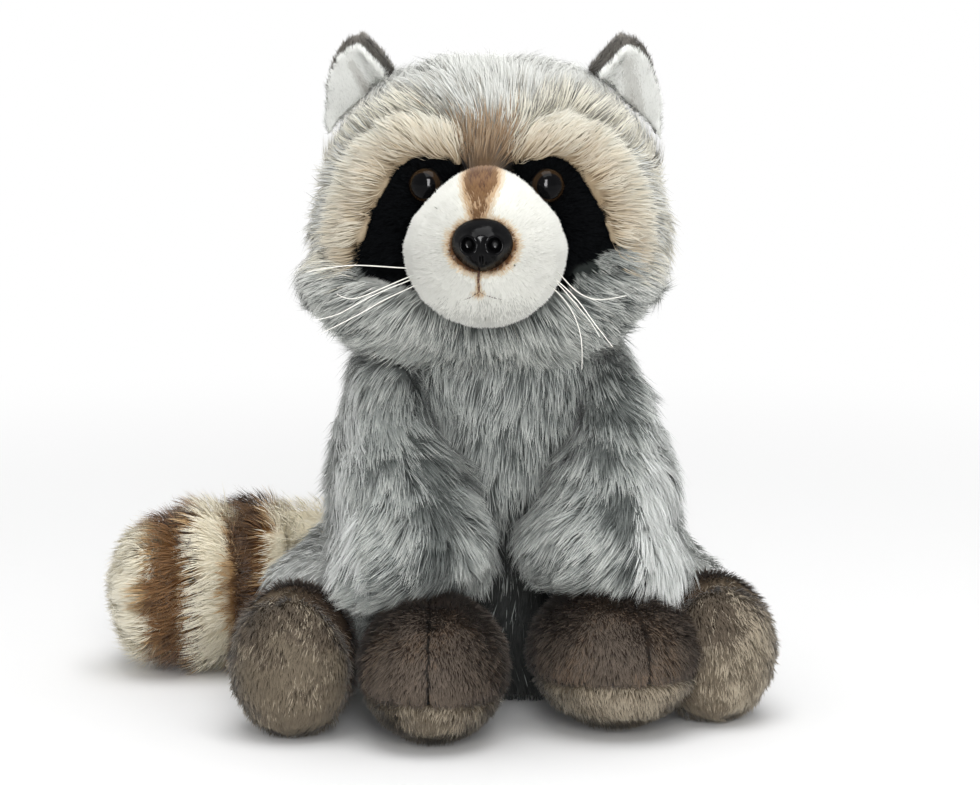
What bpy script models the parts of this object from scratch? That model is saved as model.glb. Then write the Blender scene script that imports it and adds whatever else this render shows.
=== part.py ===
"""A seated plush raccoon: a stuffed body of long-pile plush with short-pile mask, muzzle and paws, ear
linings, a ringed tail, whiskers, and eyes and a nose of moulded plastic held by lock washers.

Lengths are in metres, +Z is up and the face looks along -Y. Left and right are the raccoon's own, so its
right side is at -X. The origin is the middle of the seat, where the body rests on the table.
"""

import math
from collections import namedtuple

import bmesh
import bpy
from mathutils import Euler, Matrix, Vector, noise

MM = 0.001
FLOOR = 0.0

# Driving sizes
SEAM_GAP = 0.5 * MM

HEAD_CENTRE = Vector((-5, -25, 182.4)) * MM
HEAD_RADII = Vector((67.5, 51, 62)) * MM
HEAD_TURN = math.radians(-2.4)
JAW_DEPTH = 54 * MM
CHEEK_SWELL = 0.06
HEAD_FULLNESS = 2.3
PANEL_DEPTH = 12 * MM
MASK_INSET = 5 * MM

MUZZLE_CENTRE = Vector((0, -52, -2)) * MM
MUZZLE_RADII = Vector((28.8, 30, 28.2)) * MM
MUZZLE_TAPER = 0.34

EYE_SPACING = 42.7 * MM
EYE_HEIGHT = 18.9 * MM
EYE_RADIUS = 6.0 * MM
EYE_DOME = 5.0 * MM
EYE_TURN = math.radians(16)
EYE_RIM = 0.8 * MM
BARB_DEPTH = 0.2 * MM
SHANK_RADIUS = 1.6 * MM
SHANK_TAIL = 3.4 * MM
SHANK_POINT = 0.8 * MM
SHANK_BARBS = 2
CUT_REACH = 9 * MM
WASHER_RADIUS = 7.0 * MM
WASHER_THICKNESS = 1.2 * MM
WASHER_TEETH = 5
WASHER_STANDOFF = 2.6 * MM

NOSE_HEIGHT = 3.2 * MM
NOSE_HALF_WIDTH = 10.9 * MM
NOSE_HALF_HEIGHT = 8.7 * MM
NOSE_DEPTH = 8.5 * MM
NOSTRIL_SPREAD = 4.6 * MM
NOSTRIL_RADIUS = 2.3 * MM
NOSTRIL_DEPTH = 2.4 * MM
NOSE_SINK = 3.2 * MM
NOSE_BACK = 1.5 * MM
NOSE_WASHER_DEPTH = 8 * MM

EAR_BASE = Vector((47, -2, 33)) * MM
EAR_INNER_WIDTH = 26 * MM
EAR_OUTER_WIDTH = 15 * MM
EAR_HEIGHT = 36.5 * MM
EAR_CUP = 7 * MM
EAR_BACK_THICKNESS = 4.5 * MM
EAR_LINING_THICKNESS = 2.5 * MM
EAR_LEAN = math.radians(4)
EAR_TURN = math.radians(16)

WHISKER_RADIUS = 0.3 * MM
WHISKER_BITE = 4 * MM

PAW_RADII = Vector((28, 32, 27.5)) * MM
PAW_SEAM_DEPTH = 0.07
SOLE_SLOPE = math.radians(5)
FOOT_RADII = Vector((24.5, 24, 29)) * MM
FOOT_SOLE_INSET = 18 * MM

TAIL_TIP_WIDTH = 7.5 * MM
OUTER_RING_WIDTH = 14.5 * MM
TAIL_BAND_WIDTH = 16.5 * MM
INNER_RING_WIDTH = 19.5 * MM

# How the locks of each kind of long pile lie: how far their tips stand up, and how long they are
Pile = namedtuple("Pile", "depth length")
COAT = Pile(4.2 * MM, 28 * MM)
RUFF = Pile(3.6 * MM, 23 * MM)
BRUSH = Pile(4.0 * MM, 25 * MM)
LOCK_RISE = ((0.0, 0.0), (0.8, 1.0))
LOCK_POINT = 0.16


def plush(name, rgb, roughness=0.95):
    """A plain cloth or plastic surface of one colour."""
    material = bpy.data.materials.new(name)
    material.use_nodes = True
    shader = material.node_tree.nodes["Principled BSDF"]
    shader.inputs["Base Color"].default_value = (*rgb, 1)
    shader.inputs["Roughness"].default_value = roughness
    shader.inputs["Metallic"].default_value = 0.0
    material.diffuse_color = (*rgb, 1)
    return material


def smooth_between(points, steps, closed=False):
    """Points along the smooth curve through the given points, which may be vectors of any length."""
    count = len(points)
    spans = count if closed else count - 1
    found = []
    for span in range(spans):
        if closed:
            near = [points[(span + k) % count] for k in (-1, 0, 1, 2)]
        else:
            near = [points[min(max(span + k, 0), count - 1)] for k in (-1, 0, 1, 2)]
        for step in range(steps):
            t = step / steps
            before, start, end, after = near
            found.append(
                0.5
                * (
                    2 * start
                    + (end - before) * t
                    + (2 * before - 5 * start + 4 * end - after) * t**2
                    + (3 * start - before - 3 * end + after) * t**3
                )
            )
    if not closed:
        found.append(points[-1].copy())
    return found


def lock_rows(length, pile):
    """Where the rings of a furred form go: (share of the length, row of locks, rise of the pile there)."""
    count = max(1, round(length / pile.length))
    return [((row + at) / count, row, rise) for row in range(count) for at, rise in LOCK_RISE]


def lock_at(pile, row, rise, side, seed):
    """How far the pile stands up at a corner and how far it reaches along, in locks that overlap like
    tiles, each row moved by half a lock."""
    tip_row = row if rise else row - 1
    crest = (side + tip_row) % 2
    column = (side + tip_row % 2) // 2
    uneven = 1 + 0.7 * noise.noise(Vector((column * 3.17, tip_row * 5.71, seed)))
    reach = LOCK_POINT * uneven if crest else -LOCK_POINT
    return pile.depth * rise * (uneven if crest else 0.12), pile.length * reach


def lofted(rings, start=None, end=None, mesh=None):
    """A closed mesh through rings of points. A start or end point closes that end to a pole."""
    mesh = mesh or bmesh.new()
    rows = [[mesh.verts.new(point) for point in ring] for ring in rings]
    count = len(rows[0])
    for lower, upper in zip(rows, rows[1:]):
        middle = sum((v.co for v in (*lower, *upper)), Vector()) / (2 * count)
        for k in range(count):
            after = (k + 1) % count
            a, b, c, d = lower[k], lower[after], upper[after], upper[k]
            # Each four-sided gap is folded outwards
            if ((a.co + c.co) / 2 - middle).length > ((b.co + d.co) / 2 - middle).length:
                mesh.faces.new((a, b, c))
                mesh.faces.new((a, c, d))
            else:
                mesh.faces.new((a, b, d))
                mesh.faces.new((b, c, d))
    for row, pole, turned in ((rows[0], start, True), (rows[-1], end, False)):
        if pole is None:
            mesh.faces.new(row[::-1] if turned else row)
            continue
        tip = mesh.verts.new(pole)
        for k in range(count):
            after = (k + 1) % count
            mesh.faces.new((row[after], row[k], tip) if turned else (row[k], row[after], tip))
    bmesh.ops.recalc_face_normals(mesh, faces=mesh.faces)
    return mesh


def ellipsoid(radii):
    return lambda way: Vector([w * r for w, r in zip(way, radii)])


def ball(centre, shape, rings, sides, pole, pile=None, seed=0.0, grow=0.0, size=0.06):
    """A stuffed ball, given as its surface in every direction. Its locks lie away from its pole.

    With a pile, rows of locks take the place of the rings, on a ball of about the given size.
    """
    pole = Vector(pole)
    across = Vector((1, 0, 0))
    third = pole.cross(across)

    def place(polar, turn, lock=0.0):
        polar = min(max(polar, 0.0), math.pi)
        way = pole * math.cos(polar) + math.sin(polar) * (
            across * math.cos(turn) + third * math.sin(turn)
        )
        return centre + shape(way) + way * (grow + lock)

    plan = [(i / rings, 0, 0.0) for i in range(1, rings)]
    if pile:
        plan = lock_rows(math.pi * size, pile)[1:]
    rows = []
    for share, row, rise in plan:
        polar = math.pi * share
        fade = min(1.0, 1.6 * math.sin(polar))
        points = []
        for k in range(sides):
            lock, reach = lock_at(pile, row, rise, k, seed) if pile else (0.0, 0.0)
            points.append(place(polar + reach * fade / size, math.tau * k / sides, lock * fade))
        rows.append(points)
    return lofted(rows, place(0, 0), place(math.pi, 0))


def tube(stations, rings, sides, hint, domes=(0.7, 0.7), pile=None, seed=0.0, grow=0.0):
    """A stuffed tube along a smooth line. Each station is (x, y, z, half width, half height).

    A dome closes an end by that share of its width. A dome of 0 leaves the end flat. With no rings
    and no pile given, there is one at each station.
    """
    line = smooth_between([Vector(s) for s in stations], 12 if rings or pile else 1)
    centres = [Vector(p[:3]) for p in line]
    runs = [0.0]
    for start, end in zip(centres, centres[1:]):
        runs.append(runs[-1] + (end - start).length)
    if pile:
        plan = lock_rows(runs[-1], pile)
    elif rings:
        plan = [(i / rings, 0, 0.0) for i in range(rings)]
    else:
        plan = [(run / runs[-1], 0, 0.0) for run in runs[:-1]]
    plan.append((1.0, plan[-1][1] + 1, 0.0))

    def station(share):
        run = share * runs[-1]
        low = max(i for i in range(len(line) - 1) if runs[i] <= run + 1e-9)
        mix = (run - runs[low]) / (runs[low + 1] - runs[low])
        forward = (centres[low + 1] - centres[low]).normalized()
        at = line[low].lerp(line[low + 1], mix)
        across = forward.cross(Vector(hint)).normalized()
        return Vector(at[:3]), forward, across, across.cross(forward), at[3] + grow, at[4] + grow

    def ring(centre, forward, across, up, wide, high, row, rise, point=1.0):
        points = []
        for k in range(sides):
            turn = math.tau * k / sides
            lock, reach = lock_at(pile, row, rise, k, seed) if pile else (0.0, 0.0)
            points.append(
                centre
                + forward * reach * point
                + across * math.cos(turn) * (wide + lock)
                + up * math.sin(turn) * (high + lock)
            )
        return points

    rows = []
    for share, row, rise in plan:
        flat_end = domes[0] == 0 and share == 0 or domes[1] == 0 and share == 1
        rows.append(ring(*station(share), row, rise, 0.0 if flat_end else 1.0))
    poles = []
    for share, dome, last in ((0.0, domes[0], False), (1.0, domes[1], True)):
        if not dome:
            poles.append(None)
            continue
        centre, forward, across, up, wide, high = station(share)
        outward = forward if last else -forward
        reach = dome * min(wide, high)
        for angle in (math.radians(32), math.radians(62)):
            shrink, out = math.cos(angle), math.sin(angle) * reach
            frame = (centre + outward * out, forward, across, up, wide * shrink, high * shrink)
            rows.insert(len(rows) if last else 0, ring(*frame, plan[-1][1] if last else 0, 0.0, shrink * 0.5))
        poles.append(centre + outward * reach)
    return lofted(rows, *poles)


def add_prism(mesh, outline, front, back):
    """Adds a block that runs along Y with an outline drawn in X and Z."""
    rings = [[Vector((p.x, y, p.y)) for p in outline] for y in (front, back)]
    return lofted(rings, mesh=mesh)


def offset_outline(outline, distance):
    """The outline moved outwards by a distance."""
    count = len(outline)
    area = sum(outline[k].cross(outline[(k + 1) % count]) for k in range(count))
    side = 1 if area > 0 else -1
    moved = []
    for k in range(count):
        before = (outline[k] - outline[k - 1]).normalized()
        after = (outline[(k + 1) % count] - outline[k]).normalized()
        way = (before + after).normalized()
        moved.append(outline[k] + side * distance * Vector((way.y, -way.x)))
    return moved


def cut_flat(mesh, height, keep_above=True, normal=(0, 0, 1), point=None):
    """Cuts a mesh by a plane, drops one side and closes the cut."""
    point = Vector((0, 0, height)) if point is None else point
    cut = bmesh.ops.bisect_plane(
        mesh,
        geom=[*mesh.verts, *mesh.edges, *mesh.faces],
        dist=1e-7,
        plane_co=point,
        plane_no=Vector(normal),
        clear_inner=keep_above,
        clear_outer=not keep_above,
    )
    edges = [e for e in cut["geom_cut"] if isinstance(e, bmesh.types.BMEdge)]
    bmesh.ops.contextual_create(mesh, geom=edges)
    bmesh.ops.recalc_face_normals(mesh, faces=mesh.faces)
    return mesh


def add_object(name, mesh, material=None, parent=None, matrix=None, helper=False):
    """Makes the mesh an object. A helper is a cutter, which isn't part of the toy."""
    data = bpy.data.meshes.new(name)
    mesh.to_mesh(data)
    mesh.free()
    if matrix is not None:
        data.transform(matrix)
    if material:
        data.materials.append(material)
    data.shade_smooth()
    made = bpy.data.objects.new(name, data)
    bpy.context.scene.collection.objects.link(made)
    made.parent = parent
    if helper:
        made.hide_render = True
        made.display_type = "WIRE"
    return made


def combine(target, operation, *others):
    """Adds a Boolean to the target for each of the others."""
    for other in others:
        modifier = target.modifiers.new(other.name, "BOOLEAN")
        modifier.operation = operation
        modifier.solver = "EXACT"
        modifier.object = other


def seam_twin(name, form, parent=None):
    """The piece's twin, grown by the gap at a seam. It cuts the neighbours that press against it."""
    mesh = form(0.0)
    grown = form(SEAM_GAP)
    for vert, moved in zip(mesh.verts, grown.verts):
        vert.co = moved.co
    grown.free()
    return add_object(name + "_seam", mesh, parent=parent, helper=True)


def stuffed(name, form, material, cut_by=(), parent=None, flat=False):
    """Makes a stuffed piece and its twin."""
    mesh = form(0.0)
    if flat:
        cut_flat(mesh, FLOOR)
    piece = add_object(name, mesh, material, parent)
    combine(piece, "DIFFERENCE", *cut_by)
    return piece, seam_twin(name, form, parent)


for old in list(bpy.data.objects):
    bpy.data.objects.remove(old)

grey_coat = plush("grey_coat", (0.50, 0.52, 0.52))
pale_coat = plush("pale_coat", (0.66, 0.67, 0.66))
cream_pile = plush("cream_pile", (0.84, 0.76, 0.62))
white_short = plush("white_short_pile", (0.88, 0.87, 0.84))
black_short = plush("black_short_pile", (0.015, 0.015, 0.017))
brown_grey = plush("brown_grey_pile", (0.20, 0.18, 0.16))
dark_paw = plush("dark_paw_pile", (0.12, 0.095, 0.08))
taupe_sole = plush("taupe_sole_pile", (0.33, 0.27, 0.22))
tail_brown = plush("tail_brown_pile", (0.22, 0.11, 0.05))
nose_plastic = plush("nose_plastic", (0.012, 0.012, 0.013), 0.2)
eye_plastic = plush("eye_plastic", (0.03, 0.018, 0.01), 0.05)
washer_plastic = plush("washer_plastic", (0.8, 0.8, 0.78), 0.4)
whisker_nylon = plush("whisker_nylon", (0.9, 0.89, 0.85), 0.35)

# The torso: a pear-shaped bag that sits on its flat base, with the neck inside the head's ruff
TORSO = [
    Vector((0, 12, -4, 47, 46)) * MM,
    Vector((0, 10, 28, 56, 53)) * MM,
    Vector((0, 6, 62, 55, 50)) * MM,
    Vector((0, 0, 96, 50, 45)) * MM,
    Vector((0, -6, 124, 43, 40)) * MM,
    Vector((-2, -10, 142, 36, 36)) * MM,
]


def torso_form(grow):
    upside = TORSO[::-1]
    return tube(upside, 0, 24, (0, 1, 0), (0.5, 0.3), COAT, 1.0, grow)


torso, torso_twin = stuffed("torso", torso_form, grey_coat, flat=True)

# The head: everything on it is placed from the head's centre, and turns with it
head_pose = bpy.data.objects.new("head_pose", None)
bpy.context.scene.collection.objects.link(head_pose)
head_pose.location = HEAD_CENTRE
head_pose.rotation_euler = (0, 0, HEAD_TURN)


def head_shape(way, inset=0.0):
    """The crown is round, the jaw is shallower, and the cheeks swell at the sides below the eyes."""
    total = sum(abs(w) ** HEAD_FULLNESS for w in way) ** (-1 / HEAD_FULLNESS)
    cheek = math.exp(-(((way.z + 0.45) / 0.4) ** 2)) * abs(way.x) ** 2
    down = JAW_DEPTH if way.z < 0 else HEAD_RADII.z
    radii = Vector((HEAD_RADII.x, HEAD_RADII.y, down)) - Vector((1, 1, 1)) * inset
    return Vector([w * r for w, r in zip(way, radii)]) * total * (1 + CHEEK_SWELL * cheek)


def head_form(grow):
    return ball(Vector(), head_shape, 0, 28, (0, -1, 0), RUFF, 2.0, grow)


def smooth_head(grow, rings=12, sides=18):
    return ball(Vector(), lambda way: head_shape(way, -grow), rings, sides, (0, -1, 0))


head, head_twin = stuffed("head", head_form, pale_coat, [torso_twin], head_pose)


# The muzzle: a round white ball set into the face
def muzzle_shape(way):
    """The muzzle narrows upwards, where it runs up the bridge of the nose between the eyes."""
    surface = Vector([w * r for w, r in zip(way, MUZZLE_RADII)])
    surface.x *= 1 - MUZZLE_TAPER * max(way.z, 0) ** 1.5
    return surface


def muzzle_form(grow):
    return ball(MUZZLE_CENTRE, muzzle_shape, 9, 18, (0, -1, 0), grow=grow)


muzzle, muzzle_twin = stuffed("muzzle", muzzle_form, white_short, parent=head_pose)
combine(head, "DIFFERENCE", muzzle_twin)

# The mask and brow panels: flat cuts of plush in the face, drawn from the front in X and Z
MASK_OUTLINE = [(-3, 25), (-12, 28), (-21, 30), (-30, 30), (-39, 19), (-44.5, 8), (-48.5, -4), (-49.5, -12)]
MASK_OUTLINE += [(-46, -24), (-25, -30), (-8, -22), (-2, 4)]
PANEL_OUTLINE = [(-10, 36), (-23, 43.5), (-38, 40), (-51, 29), (-58, 13), (-60, -5), (-52, -13), (-40, -15)]
PANEL_OUTLINE += [(-27, -19), (-18, -12), (-13, 8), (-10, 24)]
face_core = add_object("face_core", smooth_head(-PANEL_DEPTH, 8, 12), parent=head_pose, helper=True)
backing = add_object("face_backing", smooth_head(SEAM_GAP - PANEL_DEPTH, 8, 12), parent=head_pose, helper=True)


def face_outline(points, side, grow=0.0):
    """The panel's outline on one side of the face, as a smooth closed curve."""
    corners = [Vector((-side * x, z)) * MM for x, z in points]
    smooth = smooth_between(corners, 2, closed=True)
    return offset_outline(smooth, grow)


def face_block(name, points, side, grow=0.0):
    """A cutter in an outline, from in front of the face to behind its panels."""
    block = add_prism(bmesh.new(), face_outline(points, side, grow), -0.09, -0.001)
    return add_object(name, block, parent=head_pose, helper=True)


def face_panel(name, surface, material, *blocks):
    """A panel of plush set into the face: a surface of the head inside an outline."""
    panel = add_object(name, surface, material, head_pose)
    combine(panel, "INTERSECT", *blocks)
    combine(panel, "DIFFERENCE", backing, muzzle_twin)
    return panel


masks = {}
for side, word in ((-1, "right"), (1, "left")):
    both = face_block("panels_" + word, PANEL_OUTLINE, side)
    split = face_block("mask_split_" + word, MASK_OUTLINE, side)
    hole = face_block("mask_seam_" + word, MASK_OUTLINE, side, SEAM_GAP)
    masks[side] = face_panel("mask_" + word, smooth_head(-MASK_INSET), black_short, both, split)
    brow = face_panel("brow_" + word, head_form(0.0), cream_pile, both)
    combine(brow, "DIFFERENCE", hole)

pockets = bmesh.new()
for side in (-1, 1):
    outline = face_outline(PANEL_OUTLINE, side, SEAM_GAP)
    add_prism(pockets, outline, -0.09, -0.001)
face_pockets = add_object("face_pockets", pockets, parent=head_pose, helper=True)
combine(face_pockets, "DIFFERENCE", face_core)
combine(head, "DIFFERENCE", face_pockets)


# The eyes: moulded domes on barbed shanks, each locked by a toothed washer behind the mask
def turned(profile, sides):
    """A turned solid about Z, from (radius, height) points. The first and last lie on the axis."""
    rings = []
    for radius, height in profile[1:-1]:
        row = []
        for k in range(sides):
            turn = math.tau * k / sides
            row.append(Vector((radius * math.cos(turn), radius * math.sin(turn), height)))
        rings.append(row)
    first, last = (Vector((0, 0, profile[k][1])) for k in (0, -1))
    return lofted(rings, first, last)


def shank_profile(top, length):
    """The barbed shank below a head, down to its tapered end."""
    pitch = (length - 3 * MM) / SHANK_BARBS
    points = []
    for barb in range(SHANK_BARBS):
        upper = top - 2 * MM - barb * pitch
        points.append((SHANK_RADIUS - 1.6 * BARB_DEPTH, upper))
        points.append((SHANK_RADIUS, upper - 0.15 * pitch))
    points.append((SHANK_RADIUS - 1.6 * BARB_DEPTH, top - length + SHANK_POINT))
    points.append((0, top - length))
    return points


def eye_form(shank_length):
    dome = []
    for k in range(5):
        angle = math.radians(90 - 22.5 * k)
        dome.append((EYE_RADIUS * math.cos(angle), EYE_DOME * math.sin(angle)))
    dome[0] = (0, EYE_DOME)
    neck = SHANK_RADIUS - 1.6 * BARB_DEPTH
    rim = [(EYE_RADIUS, -EYE_RIM), (neck, -EYE_RIM - BARB_DEPTH)]
    return turned([*dome, *rim, *shank_profile(0, shank_length)], 12)


def washer_form():
    """A dished ring whose inner teeth grip the shank."""
    count = 2 * WASHER_TEETH
    tip, root = SHANK_RADIUS + 0.3 * MM, SHANK_RADIUS + 2 * MM
    loops = []
    half = WASHER_THICKNESS / 2
    for outer, height in ((True, -half), (True, half), (False, half), (False, -half)):
        loop = []
        for k in range(count):
            turn = math.tau * k / count
            radius = WASHER_RADIUS if outer else (tip if k % 2 else root)
            loop.append(Vector((radius * math.cos(turn), radius * math.sin(turn), height)))
        loops.append(loop)
    mesh = bmesh.new()
    rows = [[mesh.verts.new(p) for p in loop] for loop in loops]
    for row, following in zip(rows, [*rows[1:], rows[0]]):
        for k in range(count):
            after = (k + 1) % count
            mesh.faces.new((row[k], row[after], following[after], following[k]))
    bmesh.ops.recalc_face_normals(mesh, faces=mesh.faces)
    return mesh


def pin_form(radius, top, bottom, sides=16):
    return turned([(0, bottom), (radius, bottom), (radius, top), (0, top)], sides)


def anchor_form(washer_at, bore_radius, bottom, top):
    """The room behind the face for a shank and the washer that is pushed onto it."""
    floor = washer_at - WASHER_THICKNESS / 2 - SEAM_GAP
    room = WASHER_RADIUS + SEAM_GAP
    profile = [(0, bottom), (bore_radius, bottom), (bore_radius, floor), (room, floor), (room, top), (0, top)]
    return turned(profile, 12)


def outward_matrix(place, turn, nod=0.0):
    """Puts a turned part's +Z along the face's -Y, turned aside and nodded."""
    spin = Matrix.Rotation(turn, 4, "Z") @ Matrix.Rotation(math.radians(90) + nod, 4, "X")
    return Matrix.Translation(place) @ spin


def head_surface(x, z, inset):
    """How far forward the head's smooth surface is, set back by an inset, in front of a point."""
    way = Vector((x, -HEAD_RADII.y, z)).normalized()
    for _ in range(30):
        surface = head_shape(way.normalized(), inset)
        way += Vector((x - surface.x, 0, z - surface.z)) * 8
    return head_shape(way.normalized(), inset).y


for side, word in ((-1, "right"), (1, "left")):
    x = side * EYE_SPACING / 2
    seat = head_surface(x, EYE_HEIGHT, MASK_INSET)
    core = head_surface(x, EYE_HEIGHT, PANEL_DEPTH)
    place = Vector((x, seat, EYE_HEIGHT))
    pose = outward_matrix(place, side * EYE_TURN)
    behind = -(core - seat) / math.cos(EYE_TURN) - WASHER_THICKNESS / 2 - WASHER_STANDOFF
    shank_length = SHANK_TAIL - behind
    add_object("eye_" + word, eye_form(shank_length), eye_plastic, head_pose, pose)
    washer_pose = pose @ Matrix.Translation((0, 0, behind))
    add_object("eye_washer_" + word, washer_form(), washer_plastic, head_pose, washer_pose)
    eye_seat = add_object(
        "eye_seat_" + word,
        pin_form(EYE_RADIUS + SEAM_GAP, CUT_REACH, -EYE_RIM - SEAM_GAP, 12),
        parent=head_pose,
        matrix=pose,
        helper=True,
    )
    bore = add_object(
        "shank_bore_" + word,
        pin_form(SHANK_RADIUS + SEAM_GAP, CUT_REACH, -CUT_REACH, 8),
        parent=head_pose,
        matrix=pose,
        helper=True,
    )
    anchor = add_object(
        "eye_anchor_" + word,
        anchor_form(behind, SHANK_RADIUS + SEAM_GAP, -shank_length - SEAM_GAP, behind + 6 * MM),
        parent=head_pose,
        matrix=pose,
        helper=True,
    )
    combine(masks[side], "DIFFERENCE", bore, eye_seat)
    combine(head, "DIFFERENCE", anchor)
    combine(muzzle, "DIFFERENCE", eye_seat)


# The nose: one black moulding with two nostrils and a cleft, on a shank through the muzzle's front
nose_shank_radius = 1.5 * SHANK_RADIUS
nose_shank_end = NOSE_WASHER_DEPTH + SHANK_TAIL


def nose_outline(turn):
    """The nose's edge seen from the front: wide and level above, drawn in to the lip below."""
    low = max(-math.sin(turn), 0)
    x = NOSE_HALF_WIDTH * math.cos(turn) * (1 - 0.24 * low**1.5)
    z = NOSE_HALF_HEIGHT * math.sin(turn)
    return x, z


def nose_point(share, turn):
    """A place on the nose's front, from its middle (share 0) to its edge (share 1)."""
    edge_x, edge_z = nose_outline(turn)
    x, z = edge_x * share, edge_z * share
    front = NOSE_DEPTH * (1 - share**2.6)
    beside = abs(x) - NOSTRIL_SPREAD
    away = math.hypot(beside, z - 0.5 * MM)
    rim = math.exp(-(((away - NOSTRIL_RADIUS * 1.25) / (0.9 * MM)) ** 2))
    pit = 1 / (1 + math.exp((away - NOSTRIL_RADIUS) / (0.28 * MM)))
    slot = math.exp(-(((z + 1.2 * MM) / (0.8 * MM)) ** 2)) if abs(x) > NOSTRIL_SPREAD else 0.0
    cleft = math.exp(-((x / (0.8 * MM)) ** 2)) if z < -1.5 * MM else 0.0
    front += 0.5 * MM * rim - NOSTRIL_DEPTH * pit
    front -= 0.9 * MM * slot * min(1, share * 1.2) * (1 - share) + 1.0 * MM * cleft * (1 - share**4)
    return Vector((x, -front, z))


def nose_form():
    sides = 24
    rings = []
    for share in (0.16, 0.3, 0.42, 0.54, 0.66, 0.78, 0.9, 1.0):
        rings.append([nose_point(share, math.tau * k / sides) for k in range(sides)])
    for radius, depth in ((0.97, NOSE_BACK), (0.0, NOSE_BACK), (0.0, nose_shank_end - 1 * MM)):
        row = []
        for k in range(sides):
            turn = math.tau * k / sides
            x, z = nose_outline(turn)
            if not radius:
                x, z = nose_shank_radius * math.cos(turn), nose_shank_radius * math.sin(turn)
            row.append(Vector((x * (radius or 1), depth, z * (radius or 1))))
        rings.append(row)
    tip = Vector((0, nose_shank_end, 0))
    return lofted(rings, nose_point(0, 0), tip)


nose_seat = MUZZLE_CENTRE.y - MUZZLE_RADII.y
nose_place = Vector((0, nose_seat + NOSE_SINK, MUZZLE_CENTRE.z + NOSE_HEIGHT))
nose_pose = Matrix.Translation(nose_place)
add_object("nose", nose_form(), nose_plastic, head_pose, nose_pose)


def nose_bed_form():
    """The hollow that the nose presses into the muzzle, a little larger than the nose."""
    rings = []
    for y in (-NOSE_DEPTH - 4 * MM, NOSE_BACK + SEAM_GAP):
        row = []
        for k in range(20):
            x, z = nose_outline(math.tau * k / 20)
            wider = 1 + SEAM_GAP / NOSE_HALF_HEIGHT
            row.append(Vector((x * wider, y, z * wider)))
        rings.append(row)
    return lofted(rings)


def along_y(mesh, depth):
    """Lays a turned form along +Y behind the nose."""
    mesh.transform(Matrix.Translation((0, depth, 0)) @ Matrix.Rotation(math.radians(-90), 4, "X"))
    return mesh


nose_bed = add_object("nose_bed", nose_bed_form(), parent=head_pose, matrix=nose_pose, helper=True)
nose_anchor = add_object(
    "nose_anchor",
    along_y(
        turned(
            [
                (0, 0),
                (nose_shank_radius + SEAM_GAP, 0),
                (nose_shank_radius + SEAM_GAP, NOSE_WASHER_DEPTH - WASHER_THICKNESS / 2 - SEAM_GAP),
                (WASHER_RADIUS + SEAM_GAP, NOSE_WASHER_DEPTH - WASHER_THICKNESS / 2 - SEAM_GAP),
                (WASHER_RADIUS + SEAM_GAP, NOSE_WASHER_DEPTH + WASHER_THICKNESS / 2 + SEAM_GAP),
                (nose_shank_radius + SEAM_GAP, NOSE_WASHER_DEPTH + WASHER_THICKNESS / 2 + SEAM_GAP),
                (nose_shank_radius + SEAM_GAP, nose_shank_end + SEAM_GAP),
                (0, nose_shank_end + SEAM_GAP),
            ],
            10,
        ),
        0,
    ),
    parent=head_pose,
    matrix=nose_pose,
    helper=True,
)
nose_washer_mesh = washer_form()
for vert in nose_washer_mesh.verts:
    away = math.hypot(vert.co.x, vert.co.y)
    if away < WASHER_RADIUS * 0.9:
        scale = (away + nose_shank_radius - SHANK_RADIUS) / away
        vert.co.x *= scale
        vert.co.y *= scale
add_object("nose_washer", along_y(nose_washer_mesh, NOSE_WASHER_DEPTH), washer_plastic, head_pose, nose_pose)
combine(muzzle, "DIFFERENCE", nose_bed, nose_anchor)

# The whiskers: single nylon bristles set into the sides of the muzzle, as (x, y, z) from the head's centre
WHISKERS = {
    "right_1": [(-25.6, -60, -9), (-37, -66, -7.4), (-46, -69, -6.6), (-55, -70, -7.6), (-62, -70, -9.2)],
    "right_2": [(-25.2, -62.5, -11), (-36, -69, -15), (-43.5, -72, -18), (-48, -73, -18.2), (-51, -74, -16.2)],
    "right_3": [(-25.4, -59, -12.8), (-37, -63, -17), (-45.5, -65, -21.4), (-52.5, -66, -25.4), (-60, -67, -26.6)],
    "right_4": [(-24.6, -62, -14.8), (-35, -68, -19), (-42, -71, -23), (-50, -73, -27), (-57.5, -74, -30.6)],
    "left_1": [(25.6, -60, -9.5), (32, -66, -16), (38.5, -69, -18.6), (44.5, -70, -18), (50, -70, -16.8)],
    "left_2": [(24.4, -61, -15.4), (30, -65, -21), (33.4, -67, -28), (34.8, -69, -35.6), (34.5, -69, -43)],
    "left_3": [(25.2, -59, -13.2), (31.4, -62, -20), (35.3, -64, -24.4), (38.5, -66, -28), (40.7, -67, -31.8)],
    "left_4": [(25, -63, -11.8), (33, -69, -18.4), (38.2, -71, -25.6), (41.7, -72, -30), (45.3, -73, -34.4)],
}
for word, places in WHISKERS.items():
    line = [Vector(p) * MM for p in places]
    line.insert(0, line[0] + (MUZZLE_CENTRE - line[0]).normalized() * WHISKER_BITE)
    stations = [Vector((*p, WHISKER_RADIUS, WHISKER_RADIUS)) for p in line]
    bristle = tube(stations, 0, 4, (0, 1, 0.2), (0, 0))
    add_object("whisker_" + word, bristle, whisker_nylon, head_pose)
    hole_radius = WHISKER_RADIUS + 0.4 * SEAM_GAP
    line[0] += (line[0] - line[1]) * 0.1
    stations = [Vector((*p, hole_radius, hole_radius)) for p in line[:3]]
    hole = tube(stations, 0, 4, (0, 1, 0.2), (0, 0))
    combine(muzzle, "DIFFERENCE", add_object("hole_" + word, hole, parent=head_pose, helper=True))


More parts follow.
